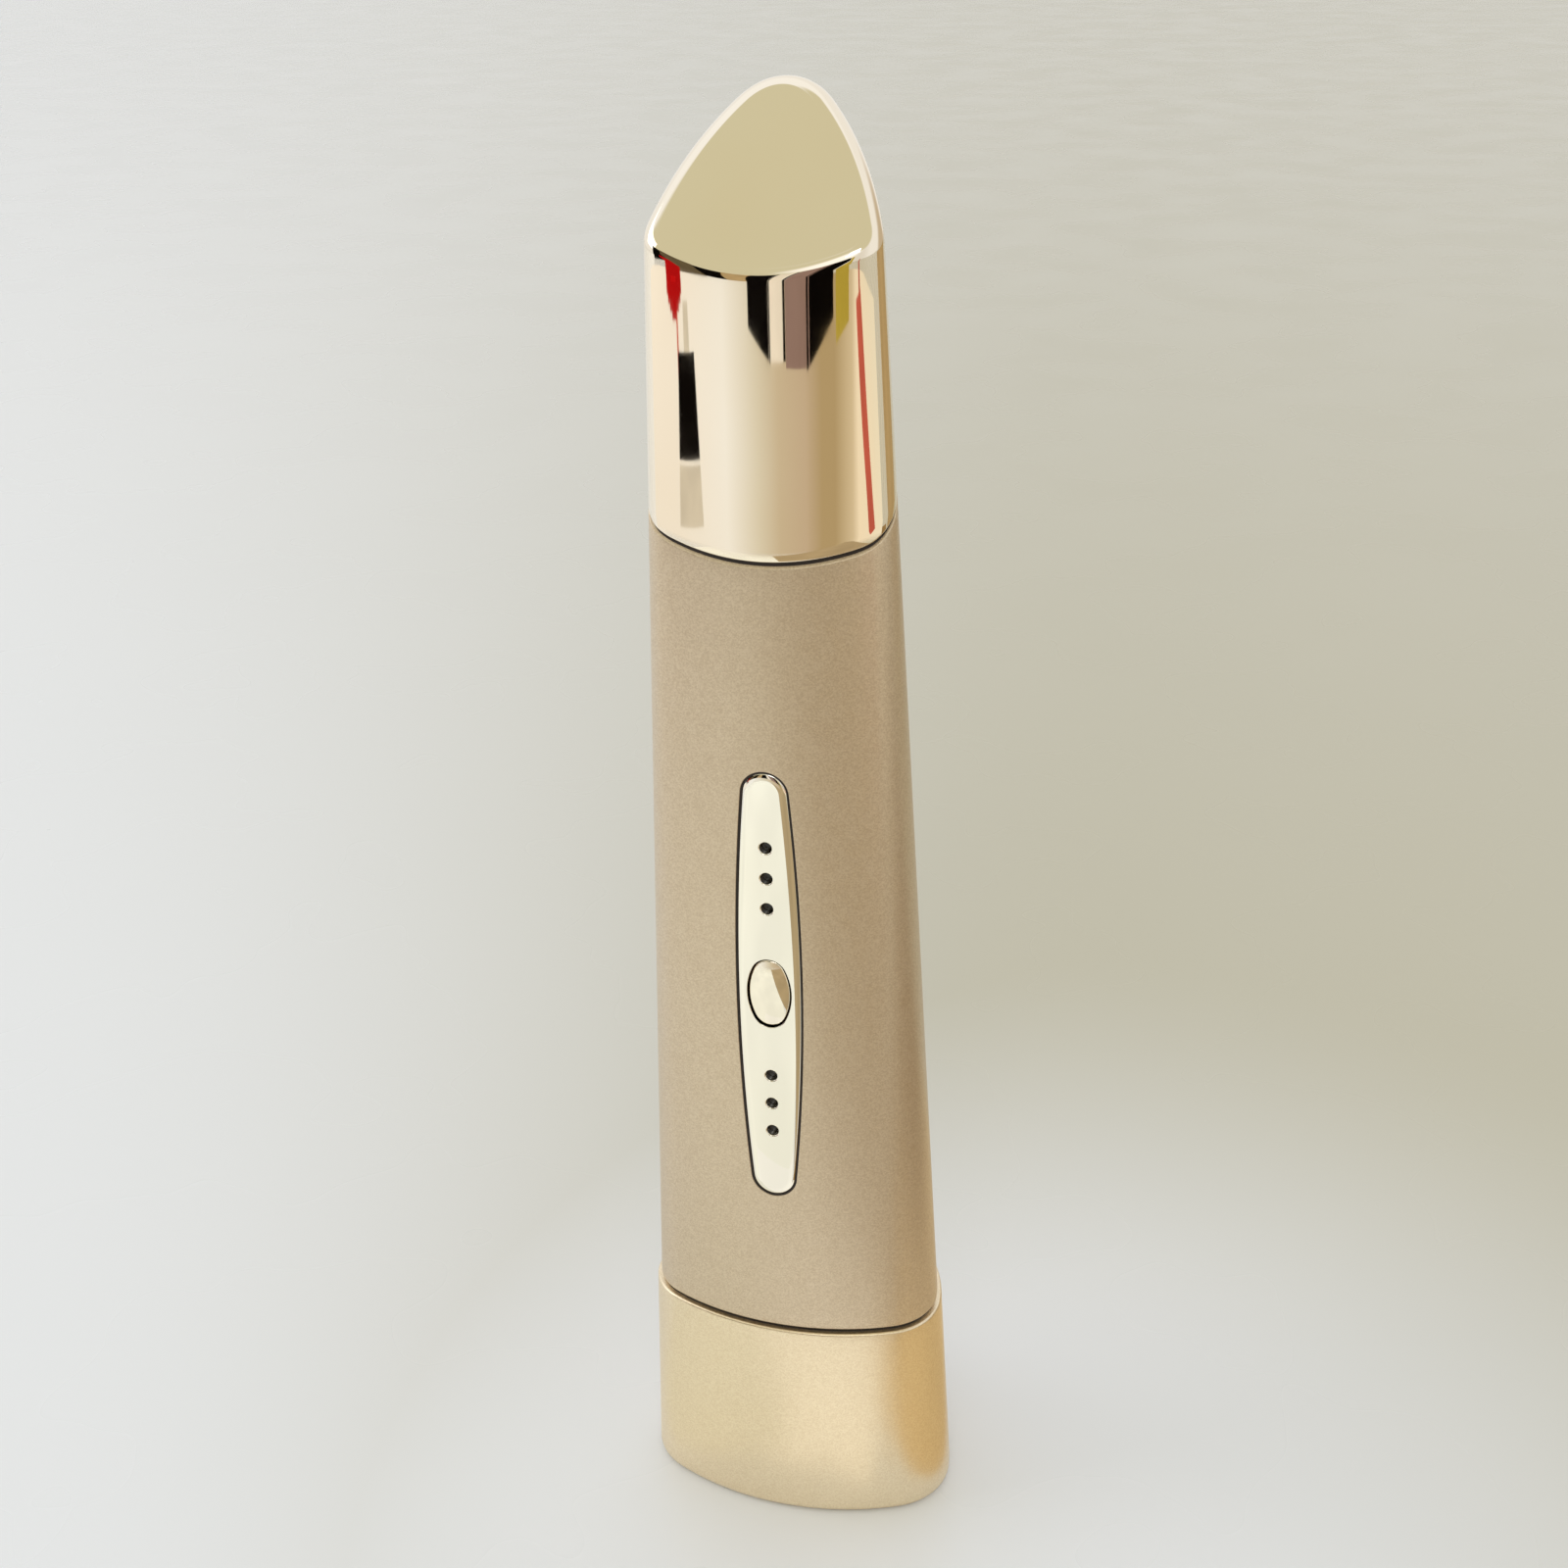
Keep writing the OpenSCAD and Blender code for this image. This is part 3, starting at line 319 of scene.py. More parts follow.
def cut_away(piece, cutters):
    """Subtracts the cutters from the piece and removes them."""
    for cutter in cutters:
        step = piece.modifiers.new("cut", "BOOLEAN")
        step.operation = "DIFFERENCE"
        step.solver = "EXACT"
        step.object = cutter
    bpy.context.view_layer.update()
    whole = bpy.data.meshes.new_from_object(piece.evaluated_get(bpy.context.evaluated_depsgraph_get()))
    piece.modifiers.clear()
    old = piece.data
    piece.data = whole
    whole.name = old.name
    bpy.data.meshes.remove(old)
    for cutter in cutters:
        bpy.data.objects.remove(cutter)


def keep_shading(piece, source):
    """Gives the piece the source's smooth shading wherever their surfaces are the same."""
    shade(piece.data)
    points = [v.co.copy() for v in source.vertices]
    polygons = [list(p.vertices) for p in source.polygons]
    tree = BVHTree.FromPolygons(points, polygons)
    corners = [c.vector.copy() for c in piece.data.corner_normals]
    source_normals = [n.vector.copy() for n in source.vertex_normals]
    reach = 0.01 * MM
    same_way = 0.97
    for face in piece.data.polygons:
        spot, normal, _, gap = tree.find_nearest(face.center)
        if gap > reach or normal.dot(face.normal) < same_way:
            continue
        for corner in face.loop_indices:
            at = piece.data.vertices[piece.data.loops[corner].vertex_index].co
            spot, _, index, _ = tree.find_nearest(at)
            around = polygons[index]
            shares = poly_3d_calc([points[v] for v in around], spot)
            way = Vector()
            for v, share in zip(around, shares):
                way += share * source_normals[v]
            corners[corner] = way.normalized()
    piece.data.normals_split_custom_set(corners)


# ---- Outlines on the front's drum ---------------------------------------------------------------
def four_arcs(half_w, half_l, side_r):
    """Long oval in X and Z round (0, PLATE_Z): two sides on side_r and two round ends."""
    off = side_r - half_w
    reach = half_l - side_r
    end_c = (reach * reach - off * off) / (2 * reach)
    end_r = half_l - end_c
    meet = math.atan2(end_c, off)
    turn = math.pi - 2 * meet
    points = []
    for half in (0, math.pi):
        way = math.cos(half)
        for k in range(SIDE_N + 1):
            a = half - meet + 2 * meet * k / SIDE_N
            points.append((side_r * math.cos(a) - off * way, PLATE_Z + side_r * math.sin(a)))
        for k in range(1, END_N):
            a = half + meet + turn * k / END_N
            points.append((end_r * math.cos(a), PLATE_Z + end_c * way + end_r * math.sin(a)))
    return points


def plate_outline(grow):
    return four_arcs(PLATE_W / 2 + grow, PLATE_L / 2 + grow, PLATE_SIDE_R + grow)


def button_outline(grow):
    return four_arcs(BUTTON_W / 2 + grow, BUTTON_L / 2 + grow, BUTTON_SIDE_R + grow)


def lamp_outline(z, grow):
    r = LAMP_R + grow
    turns = [2 * math.pi * k / LAMP_N for k in range(LAMP_N)]
    return [(r * math.cos(a), z + r * math.sin(a)) for a in turns]


def drum_y(x, radius):
    return FRONT_AXIS - math.sqrt(radius * radius - x * x)


def on_drum(outline, radius):
    return [Vector((x, drum_y(x, radius), z)) for x, z in outline]


def shrunk(outline, share):
    mid_z = sum(z for _, z in outline) / len(outline)
    return [(x * share, mid_z + (z - mid_z) * share) for x, z in outline]


# Rings that close a curved face, as shares of its outline
INNER_SHARES = (0.985, 0.9, 0.8, 0.7, 0.6, 0.5, 0.4, 0.3, 0.2, 0.1, 0.03)


def drum_solid(outline, profile):
    """Solid on the drum from an outline of one argument, its growth, and (radius, growth) pairs."""
    first_r, first_grow = profile[0]
    last_r, last_grow = profile[-1]
    rings = [on_drum(shrunk(outline(first_grow), s), first_r) for s in reversed(INNER_SHARES)]
    rings += [on_drum(outline(grow), radius) for radius, grow in profile]
    rings += [on_drum(shrunk(outline(last_grow), s), last_r) for s in INNER_SHARES]
    return loft(rings)


def lipped(depth, grow, lip_r):
    """Profile of a cutter with a rolled lip where it leaves the surface of the drum."""
    lip_turn = math.radians(80)
    profile = [(FRONT_R - depth, grow)]
    for k in range(LIP_N + 1):
        a = lip_turn * k / LIP_N
        profile.append((FRONT_R - lip_r * (1 - math.sin(a)), grow + lip_r * (1 - math.cos(a))))
    out_r, out_grow = profile[-1]
    profile.append((out_r + FLARE, out_grow + FLARE))
    return profile


LAMP_ZS = [PLATE_Z + side * LAMP_OFFSET + k * LAMP_PITCH for side in (1, -1) for k in (-1, 0, 1)]


def lamp_cutters(depth, lip_r, grow=0.0):
    profile = lipped(depth, grow, lip_r)
    return [make_piece("lamp_cutter", drum_solid(partial(lamp_outline, z), profile)) for z in LAMP_ZS]


# ---- Head ---------------------------------------------------------------------------------------
TIP_Z = TOTAL_H - FACET_EDGE_R
SEAM_Z = TOTAL_H - HEAD_LEN
SLEEVE_TOP_Z = SEAM_Z - SEAL_T / math.cos(SEAM_TILT)
EDGE_Z = TIP_Z - math.tan(FACET_TILT) * (face_point(90, TIP_Z, 0, 0).y - FACET_EDGE_R - FRONT_LINE)
FACET_Z = EDGE_Z + FACET_EDGE_R / math.cos(FACET_TILT)


def facet_support(z, r, cover, inset):
    """Ring in a flat massage face, moved in by inset from the end of its rolled edge."""
    centre_z = z - r / math.cos(FACET_TILT)
    rise = r * plane_normal(FACET_TILT)
    return [p + rise for p in tilted_ring(centre_z, FACET_TILT, r + cover + inset)]


def build_head():
    seam = edge_rings(SEAM_Z, SEAM_TILT, SEAM_EDGE_R, -1, SEAM_EDGE_N)
    facet = edge_rings(FACET_Z, FACET_TILT, FACET_EDGE_R, 1, EDGE_N)
    inner_r = FACET_EDGE_R - HEAD_WALL
    inner_z = FACET_Z - HEAD_WALL / math.cos(FACET_TILT)
    inner = edge_rings(inner_z, FACET_TILT, inner_r, 1, SEAM_EDGE_N, HEAD_WALL)
    inner_seam = tilted_ring(SEAM_Z, SEAM_TILT, HEAD_WALL)
    rings = [facet_support(inner_z, inner_r, HEAD_WALL, INNER_SUPPORT)]
    rings += reversed(inner)
    rings += [inner_seam]
    rings += reversed(seam)
    rings += between(seam[0], facet[0], SPAN_N)[1:]
    rings += facet
    rings += [facet_support(FACET_Z, FACET_EDGE_R, 0, inset) for inset in FACET_SUPPORTS]
    return make_piece("head_polished", loft(rings))


def build_ring_seal(name, low, high, tilt):
    rings = [
        tilted_ring(low, tilt, SEAL_INSET),
        tilted_ring(high, tilt, SEAL_INSET),
        tilted_ring(high, tilt, HEAD_WALL),
        tilted_ring(low, tilt, HEAD_WALL),
    ]
    return make_piece(name, loft(rings, round_trip=True))


# ---- Sleeve and plate ---------------------------------------------------------------------------
SLEEVE_Z0 = CAP_H + END_SEAL_T
WINDOW_GROW = FLANGE_RIM + WINDOW_GAP


def build_sleeve():
    foot = edge_rings(SLEEVE_Z0, 0, SEAM_EDGE_R, -1, SEAM_EDGE_N)
    top = edge_rings(SLEEVE_TOP_Z, SEAM_TILT, SEAM_EDGE_R, 1, SEAM_EDGE_N)
    rings = [level_ring(SLEEVE_Z0, SLEEVE_WALL)]
    rings += reversed(foot)
    rings += between(foot[0], top[0], 2 * SPAN_N)[1:]
    rings += top
    rings += [tilted_ring(SLEEVE_TOP_Z, SEAM_TILT, SLEEVE_WALL)]
    sleeve = make_piece("sleeve_painted", loft(rings, round_trip=True))
    smooth = sleeve.data.copy()
    pocket = lipped(PLATE_T + ADHESIVE_T, PLATE_GAP, LIP_R)
    window = [(FRONT_R - CUT_THROUGH, WINDOW_GROW), (FRONT_R - WINDOW_TOP, WINDOW_GROW)]
    cutters = [make_piece("pocket_cutter", drum_solid(plate_outline, pocket))]
    cutters += [make_piece("window_cutter", drum_solid(button_outline, window))]
    cutters += lamp_cutters(CUT_THROUGH, LIP_R)
    cut_away(sleeve, cutters)
    keep_shading(sleeve, smooth)
    bpy.data.meshes.remove(smooth)
    return sleeve


def build_plate():
    profile = [(FRONT_R - PLATE_T, 0)]
    for k in range(PLATE_EDGE_N + 1):
        a = math.pi / 2 * k / PLATE_EDGE_N
        profile.append((FRONT_R - PLATE_EDGE_DROP * (1 - math.sin(a)), -PLATE_EDGE_W * (1 - math.cos(a))))
    plate = make_piece("plate_polished", drum_solid(plate_outline, profile))
    smooth = plate.data.copy()
    opening = lipped(PLATE_T + OVERRUN, BUTTON_GAP, LIP_R)
    cutters = [make_piece("opening_cutter", drum_solid(button_outline, opening))]
    cutters += lamp_cutters(PLATE_T + OVERRUN, LAMP_LIP_R, LAMP_LIP_GROW)
    cut_away(plate, cutters)
    keep_shading(plate, smooth)
    bpy.data.meshes.remove(smooth)
    return plate


def build_adhesive():
    """Black bond under the plate that also fills the gap round it, up to just below the surface."""
    floor_r = FRONT_R - PLATE_T - ADHESIVE_T
    fill_r = FRONT_R - ADHESIVE_SUNK
    under_r = FRONT_R - PLATE_T
    rings = [
        on_drum(plate_outline(PLATE_GAP), floor_r),
        on_drum(plate_outline(PLATE_GAP), fill_r),
        on_drum(plate_outline(0), fill_r),
        on_drum(plate_outline(0), under_r),
        on_drum(button_outline(WINDOW_GROW), under_r),
        on_drum(button_outline(WINDOW_GROW), floor_r),
    ]
    adhesive = make_piece("adhesive_black", loft(rings, round_trip=True))
    cut_away(adhesive, lamp_cutters(ADHESIVE_CUT, LIP_R))
    shade(adhesive.data)
    return adhesive


# ---- Button -------------------------------------------------------------------------------------
FLANGE_Y = FRONT_LINE + PLATE_T + ADHESIVE_T + TOUCH
STEM_END_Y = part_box("power_button")[1].y / MM


def crown_radius(half):
    return (half * half + BUTTON_CROWN * BUTTON_CROWN) / (2 * BUTTON_CROWN)


CROWN_ACROSS = crown_radius(BUTTON_W / 2)
CROWN_ALONG = crown_radius(BUTTON_L / 2)


def crown_y(x, z):
    """Y of the button's domed face."""
    waist = CROWN_ACROSS - CROWN_ALONG + math.sqrt(CROWN_ALONG ** 2 - (z - PLATE_Z) ** 2)
    return FRONT_LINE - CROWN_PROUD + CROWN_ACROSS - math.sqrt(waist * waist - x * x)


def button_ring(outline, drop):
    return [Vector((x, crown_y(x, z) + drop, z)) for x, z in outline]


def build_button():
    rings = []
    for share in reversed(INNER_SHARES):
        rings.append(button_ring(shrunk(button_outline(-BUTTON_EDGE_R), share), 0))
    for k in reversed(range(BUTTON_EDGE_N + 1)):
        a = math.pi / 2 * k / BUTTON_EDGE_N
        grow = -BUTTON_EDGE_R * (1 - math.cos(a))
        rings.append(button_ring(button_outline(grow), BUTTON_EDGE_R * (1 - math.sin(a))))
    flat = [(0, FLANGE_Y), (FLANGE_RIM, FLANGE_Y), (FLANGE_RIM, FLANGE_Y + FLANGE_T)]
    for grow, y in flat:
        rings.append([Vector((x, y, z)) for x, z in button_outline(grow)])
    ways = [Vector((x, 0, z - PLATE_Z)).normalized() for x, z in button_outline(0)]
    middle = Vector((0, 0, PLATE_Z))
    for y in (FLANGE_Y + FLANGE_T, STEM_END_Y):
        rings.append([middle + STEM_R * way + Vector((0, y, 0)) for way in ways])
    return make_piece("button_polished", loft(rings))


# ---- End cap ------------------------------------------------------------------------------------
def build_cap():
    inset_in = SLEEVE_WALL + SLIDE_GAP
    tenon_z = SLEEVE_Z0 + TENON_RISE
    step_z = CAP_H - STEP_DROP
    edge_inset = CAP_EDGE_R - CAP_PROUD
    lower = edge_rings(0, 0, CAP_EDGE_R, -1, CAP_EDGE_N, -CAP_PROUD)
    upper = edge_rings(CAP_H, 0, CAP_TOP_EDGE_R, 1, SEAM_EDGE_N, -CAP_PROUD)
    rings = [level_ring(0, edge_inset + inset) for inset in FOOT_SUPPORTS]
    rings += reversed(lower)
    rings += between(lower[0], upper[0], SPAN_N)[1:]
    rings += upper
    rings += [
        level_ring(CAP_H, inset_in),
        level_ring(tenon_z, inset_in),
        level_ring(tenon_z, inset_in + TENON_WALL),
        level_ring(step_z + STEP_L, inset_in + TENON_WALL),
        level_ring(step_z, CAP_WALL - CAP_PROUD),
        level_ring(CAP_FLOOR, CAP_WALL - CAP_PROUD),
    ]
    cap = make_piece("cap_satin", loft(rings))
    smooth = cap.data.copy()
    cut_away(cap, [make_piece("slot_cutter", loft(slot_rings()))])
    keep_shading(cap, smooth)
    bpy.data.meshes.remove(smooth)
    return cap


def slot_ring(grow, z):
    """Ring of the socket's opening: two half rounds joined by straight sides."""
    r = PORT_H / 2 + PORT_GAP + grow
    off = (PORT_W - PORT_H) / 2
    ring = []
    for side in (1, -1):
        for k in range(SLOT_END_N + 1):
            a = -math.pi / 2 + math.pi * k / SLOT_END_N
            ring.append(Vector((side * (off + r * math.cos(a)), side * r * math.sin(a), z)))
    return ring


def slot_rings():
    start = math.radians(10)
    rings = [slot_ring(SLOT_EDGE_R + FLARE, -FLARE)]
    for k in range(LIP_N + 1):
        a = start + (math.pi / 2 - start) * k / LIP_N
        rings.append(slot_ring(SLOT_EDGE_R * (1 - math.sin(a)), SLOT_EDGE_R * (1 - math.cos(a))))
    rings.append(slot_ring(0, CAP_FLOOR + 1))
    return rings


# ---- Materials ----------------------------------------------------------------------------------
def srgb(r, g, b):
    """Linear colour of an 8-bit sRGB colour."""
    def one(v):
        v /= 255
        return v / 12.92 if v <= 0.04045 else ((v + 0.055) / 1.055) ** 2.4
    return (one(r), one(g), one(b), 1)


class Finish:
    """A procedural material built round one Principled shader."""

    def __init__(self, name, **values):
        self.material = bpy.data.materials.new(name)
        self.material.use_nodes = True
        self.nodes = self.material.node_tree.nodes
        self.links = self.material.node_tree.links
        self.shader = self.nodes["Principled BSDF"]
        self.place = self.nodes.new("ShaderNodeTexCoord").outputs["Object"]
        for socket, value in values.items():
            self.shader.inputs[socket.replace("_", " ")].default_value = value

    def noise(self, size_mm, detail, stretch=(1, 1, 1)):
        """Noise whose grains are about size_mm across, from 0 to 1."""
        mapping = self.nodes.new("ShaderNodeMapping")
        mapping.inputs["Scale"].default_value = stretch
        self.links.new(self.place, mapping.inputs["Vector"])
        noise = self.nodes.new("ShaderNodeTexNoise")
        noise.inputs["Scale"].default_value = 1 / (size_mm * MM)
        noise.inputs["Detail"].default_value = detail
        self.links.new(mapping.outputs["Vector"], noise.inputs["Vector"])
        return noise.outputs["Fac"]

    def flakes(self, size_mm):
        """A random value from 0 to 1 for each small cell, as of metal flakes in a paint."""
        cells = self.nodes.new("ShaderNodeTexVoronoi")
        cells.inputs["Scale"].default_value = 1 / (size_mm * MM)
        self.links.new(self.place, cells.inputs["Vector"])
        parts = self.nodes.new("ShaderNodeSeparateColor")
        self.links.new(cells.outputs["Color"], parts.inputs["Color"])
        return parts.outputs["Red"]

    def ramp(self, value, *stops):
        """Colour or grey level along value; a stop is (place, colour or level)."""
        ramp = self.nodes.new("ShaderNodeValToRGB")
        elements = ramp.color_ramp.elements
        while len(elements) < len(stops):
            elements.new(0.5)
        for element, (place, colour) in zip(elements, stops):
            element.position = place
            element.color = colour if hasattr(colour, "__len__") else (colour, colour, colour, 1)
        self.links.new(value, ramp.inputs["Fac"])
        return ramp.outputs["Color"]

    def vector_math(self, operation, first, second=None):
        step = self.nodes.new("ShaderNodeVectorMath")
        step.operation = operation
        self.links.new(first, step.inputs[0])
        if second is not None:
            step.inputs[1].default_value = second
        return step.outputs["Value" if operation in ("DOT_PRODUCT", "LENGTH") else "Vector"]

    def combined(self, operation, first, second):
        """The operation's result on two values, of which either may be a plain number."""
        step = self.nodes.new("ShaderNodeMath")
        step.operation = operation
        for socket, value in zip(step.inputs, (first, second)):
            if isinstance(value, (int, float)):
                socket.default_value = value
            else:
                self.links.new(value, socket)
        return step.outputs["Value"]

    def mapped(self, value, low, high):
        """value between low and high, taken to 0 to 1 with soft ends."""
        step = self.nodes.new("ShaderNodeMapRange")
        step.interpolation_type = "SMOOTHSTEP"
        step.inputs["From Min"].default_value = low
        step.inputs["From Max"].default_value = high
        self.links.new(value, step.inputs["Value"])
        return step.outputs["Result"]

    def parts_of(self, vector):
        """The vector's three parts, as outputs named X, Y and Z."""
        parts = self.nodes.new("ShaderNodeSeparateXYZ")
        self.links.new(vector, parts.inputs["Vector"])
        return parts.outputs

    def feed(self, socket, value):
        self.links.new(value, self.shader.inputs[socket])

    def bump(self, value, depth_mm, strength):
        bump = self.nodes.new("ShaderNodeBump")
        bump.inputs["Distance"].default_value = depth_mm * MM
        bump.inputs["Strength"].default_value = strength
        self.links.new(value, bump.inputs["Height"])
        self.feed("Normal", bump.outputs["Normal"])


def polished(name, deep, pale, painted_shade_y=None):
    """Mirror-polished plating: a faint change of tint and a breath of handling marks.

    Where a depth in mm is given, painted shade darkens the metal behind it, as in the shaded gap round a
    button.
    """
    finish = Finish(name, Metallic=1.0)
    tint = finish.ramp(finish.noise(18, 2), (0.3, deep), (0.7, pale))
    if painted_shade_y is not None:
        fade = 0.05
        # Painted shade: behind that depth the colour turns to a dark brown
        y = finish.parts_of(finish.place)["Y"]
        behind = finish.mapped(y, (painted_shade_y - fade) * MM, (painted_shade_y + fade) * MM)
        mix = finish.nodes.new("ShaderNodeMix")
        mix.data_type = "RGBA"
        mix.inputs["B"].default_value = srgb(34, 24, 18)
        finish.links.new(behind, mix.inputs["Factor"])
        finish.links.new(tint, mix.inputs["A"])
        tint = mix.outputs["Result"]
    finish.feed("Base Color", tint)
    finish.feed("Roughness", finish.ramp(finish.noise(3.5, 5), (0.35, 0.015), (0.75, 0.045)))
    finish.bump(finish.noise(7, 1), 0.004, 0.25)
    return finish.material


def satin(name, deep, pale, rough, grain_mm):
    """Blasted and plated metal: fine even grain over a satin sheen."""
    finish = Finish(name, Metallic=1.0)
    finish.feed("Base Color", finish.ramp(finish.flakes(grain_mm), (0.0, deep), (1.0, pale)))
    finish.feed("Roughness", finish.ramp(finish.noise(0.4, 3), (0.3, rough - 0.05), (0.7, rough + 0.05)))
    finish.bump(finish.noise(grain_mm, 3), 0.02, 0.35)
    return finish.material


def metallic_paint(name, deep, pale):
    """Satin metallic lacquer: flakes of two tints under a soft clear coat."""
    finish = Finish(name, Metallic=0.75, Coat_Weight=0.12, Coat_Roughness=0.28)
    finish.feed("Base Color", finish.ramp(finish.flakes(0.12), (0.0, deep), (1.0, pale)))
    finish.feed("Roughness", finish.ramp(finish.noise(1.2, 4), (0.3, 0.38), (0.7, 0.46)))
    finish.bump(finish.noise(0.18, 3), 0.012, 0.3)
    return finish.material


def moulded(name, deep, pale, rough=0.5, grain_mm=0.25, depth_mm=0.01):
    """Moulded plastic or rubber with a fine eroded grain."""
    finish = Finish(name)
    finish.feed("Base Color", finish.ramp(finish.noise(2.5, 3), (0.3, deep), (0.7, pale)))
    finish.feed("Roughness", finish.ramp(finish.noise(0.8, 3), (0.3, rough - 0.06), (0.7, rough + 0.06)))
    finish.bump(finish.noise(grain_mm, 2), depth_mm, 0.4)
    return finish.material


def brushed(name, deep, pale, rough, way):
    """Drawn or turned metal, its lines long in the direction way."""
    finish = Finish(name, Metallic=1.0)
    lines = finish.noise(0.12, 4, way)
    finish.feed("Base Color", finish.ramp(lines, (0.3, deep), (0.7, pale)))
    finish.feed("Roughness", finish.ramp(lines, (0.3, rough - 0.06), (0.7, rough + 0.06)))
    finish.bump(lines, 0.006, 0.4)
    return finish.material


def board_mask(name):
    """Green solder mask with faint tracks under it."""
    finish = Finish(name, IOR=1.5)
    wave = finish.nodes.new("ShaderNodeTexWave")
    wave.inputs["Scale"].default_value = 220
    wave.inputs["Distortion"].default_value = 3
    finish.links.new(finish.place, wave.inputs["Vector"])
    tracks = wave.outputs["Fac"]
    finish.feed("Base Color", finish.ramp(tracks, (0.45, srgb(16, 88, 50)), (0.55, srgb(30, 112, 66))))
    finish.feed("Roughness", finish.ramp(finish.noise(1, 2), (0.3, 0.25), (0.7, 0.35)))
    finish.bump(tracks, 0.02, 0.4)
    return finish.material


LENGTHWAYS = (1, 1, 0.06)
PAINTED_SHADE_BEHIND_Y = FLANGE_Y - 0.12        # mm; behind it the button's flange and stem are painted dark, as painted shade in its gap
MATERIALS = {
    "head_metal": polished("head_metal", srgb(252, 240, 219), srgb(254, 244, 226)),
    "plate_metal": polished("plate_metal", srgb(253, 248, 234), srgb(254, 250, 239)),
    # The button's metal carries painted shade on its flange and stem
    "button_metal": polished("button_metal", srgb(252, 244, 226), srgb(254, 247, 232), PAINTED_SHADE_BEHIND_Y),
    "body_paint": metallic_paint("body_paint", srgb(208, 189, 162), srgb(226, 210, 185)),
    "cap_metal": satin("cap_metal", srgb(236, 218, 186), srgb(250, 235, 206), 0.34, 0.12),
    "black_seal": moulded("black_seal", srgb(30, 22, 18), srgb(40, 30, 26), 0.6),
    "dark_plastic": moulded("dark_plastic", srgb(56, 56, 60), srgb(66, 66, 70)),
    "frame_plastic": moulded("frame_plastic", srgb(224, 224, 220), srgb(232, 232, 228)),
    "smoked_lens": moulded("smoked_lens", srgb(14, 12, 12), srgb(22, 20, 19), 0.18),
    "heater_film": moulded("heater_film", srgb(196, 128, 48), srgb(214, 146, 62), 0.25),
    "grey_foam": moulded("grey_foam", srgb(120, 122, 126), srgb(146, 148, 150), 0.85, 0.5, 0.12),
    "board_green": board_mask("board_green"),
    "chip_black": moulded("chip_black", srgb(22, 22, 24), srgb(34, 34, 36), 0.55),
    "connector_ivory": moulded("connector_ivory", srgb(230, 224, 208), srgb(240, 235, 222), 0.4),
    "led_white": moulded("led_white", srgb(240, 236, 210), srgb(248, 245, 224), 0.3),
    "steel": brushed("steel", srgb(180, 182, 186), srgb(212, 214, 216), 0.3, LENGTHWAYS),
    "weight_brass": brushed("weight_brass", srgb(186, 158, 98), srgb(214, 186, 122), 0.3, LENGTHWAYS),
    "battery_foil": brushed("battery_foil", srgb(186, 190, 198), srgb(210, 213, 220), 0.42, (1, 1, 0.3)),
    "lead_red": moulded("lead_red", srgb(170, 34, 28), srgb(196, 46, 38), 0.45),
    "lead_blue": moulded("lead_blue", srgb(32, 58, 150), srgb(44, 76, 176), 0.45),
}


def dress(piece, slot):
    piece.data.materials.clear()
    piece.data.materials.append(MATERIALS[slot])


def stand_for(piece, node, slot, body="housing"):
    """The piece is shown in place of the CAD node, on the node's own body."""
    dress(piece, slot)
    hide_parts(node)
    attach(piece, body)


for part in frame["record"]["subparts"]:
    dress(frame["nodes"][part["node"]], part["material_slot"])

stand_for(build_head(), "head_shell", "head_metal")
stand_for(build_ring_seal("seal_head", SLEEVE_TOP_Z, SEAM_Z, SEAM_TILT), "head_seal", "black_seal")
stand_for(build_sleeve(), "body_sleeve", "body_paint")
stand_for(build_plate(), "control_plate", "plate_metal")
stand_for(build_adhesive(), "plate_adhesive", "black_seal")
stand_for(build_button(), "power_button", "button_metal", "button")
stand_for(build_ring_seal("seal_end", CAP_H, SLEEVE_Z0, 0), "end_seal", "black_seal")
stand_for(build_cap(), "end_cap", "cap_metal")


# ---- Stage, light and camera --------------------------------------------------------------------
WALL_LIGHT = (0.88, 0.88, 0.88)
FRONT_LIGHT = (0.74, 0.72, 0.68)
CEILING_LIGHT = (0.63, 0.60, 0.435)
WINDOW_LIGHT = (0.95, 0.96, 0.98)
GLINT_LIGHT = (1.1, 1.1, 1.1)
BACK_LIGHT = (0.54, 0.45, 0.33)
FACET_SEES = (-0.28, -0.33, 0.90)      # way in which the photograph's view leaves the massage face
# The room on its bright walls, each patch over the last: way, angles in degrees up to which it is
# whole and from which it is gone, and light
ROOM_PATCHES = (
    ((0, -1, 0.1), 30, 75, FRONT_LIGHT),
    (FACET_SEES, 50, 62, WINDOW_LIGHT),
    ((-0.557, -0.557, 0.616), 18, 28, CEILING_LIGHT),
    ((-0.253, -0.779, 0.574), 18, 28, CEILING_LIGHT),
    ((0.30, -0.33, 0.88), 27, 33, CEILING_LIGHT),
    ((0.05, -0.84, 0.54), 6, 17, GLINT_LIGHT),
    ((0.70, 0.70, 0.08), 14, 30, BACK_LIGHT),
    (FACET_SEES, 6, 10, CEILING_LIGHT),
)
DARK = srgb(14, 11, 10)
MOSS = srgb(112, 100, 78)
BROWN = srgb(168, 140, 132)
RED = srgb(190, 20, 22)
RED_BROWN = srgb(196, 96, 82)
YELLOW = srgb(208, 186, 80)
TAN = srgb(205, 178, 134)
GOLD = srgb(160, 130, 86)
PALE_GOLD = srgb(230, 208, 168)
SAND = srgb(186, 166, 134)
WHITE = srgb(250, 250, 250)
PAPER = srgb(237, 238, 233)
PALE_GREY = srgb(222, 214, 202)
# Soft lamps: name, place, target and size in metres, and power in watts
STUDIO_LAMPS = (
    ("key", (-0.95, -0.25, 0.60), (-0.06, -0.12, 0), (0.8, 0.6), 1.7),
    ("fill", (0.16, -0.62, 0.62), (0, -0.05, 0.05), (0.30, 0.16), 0.5),
)
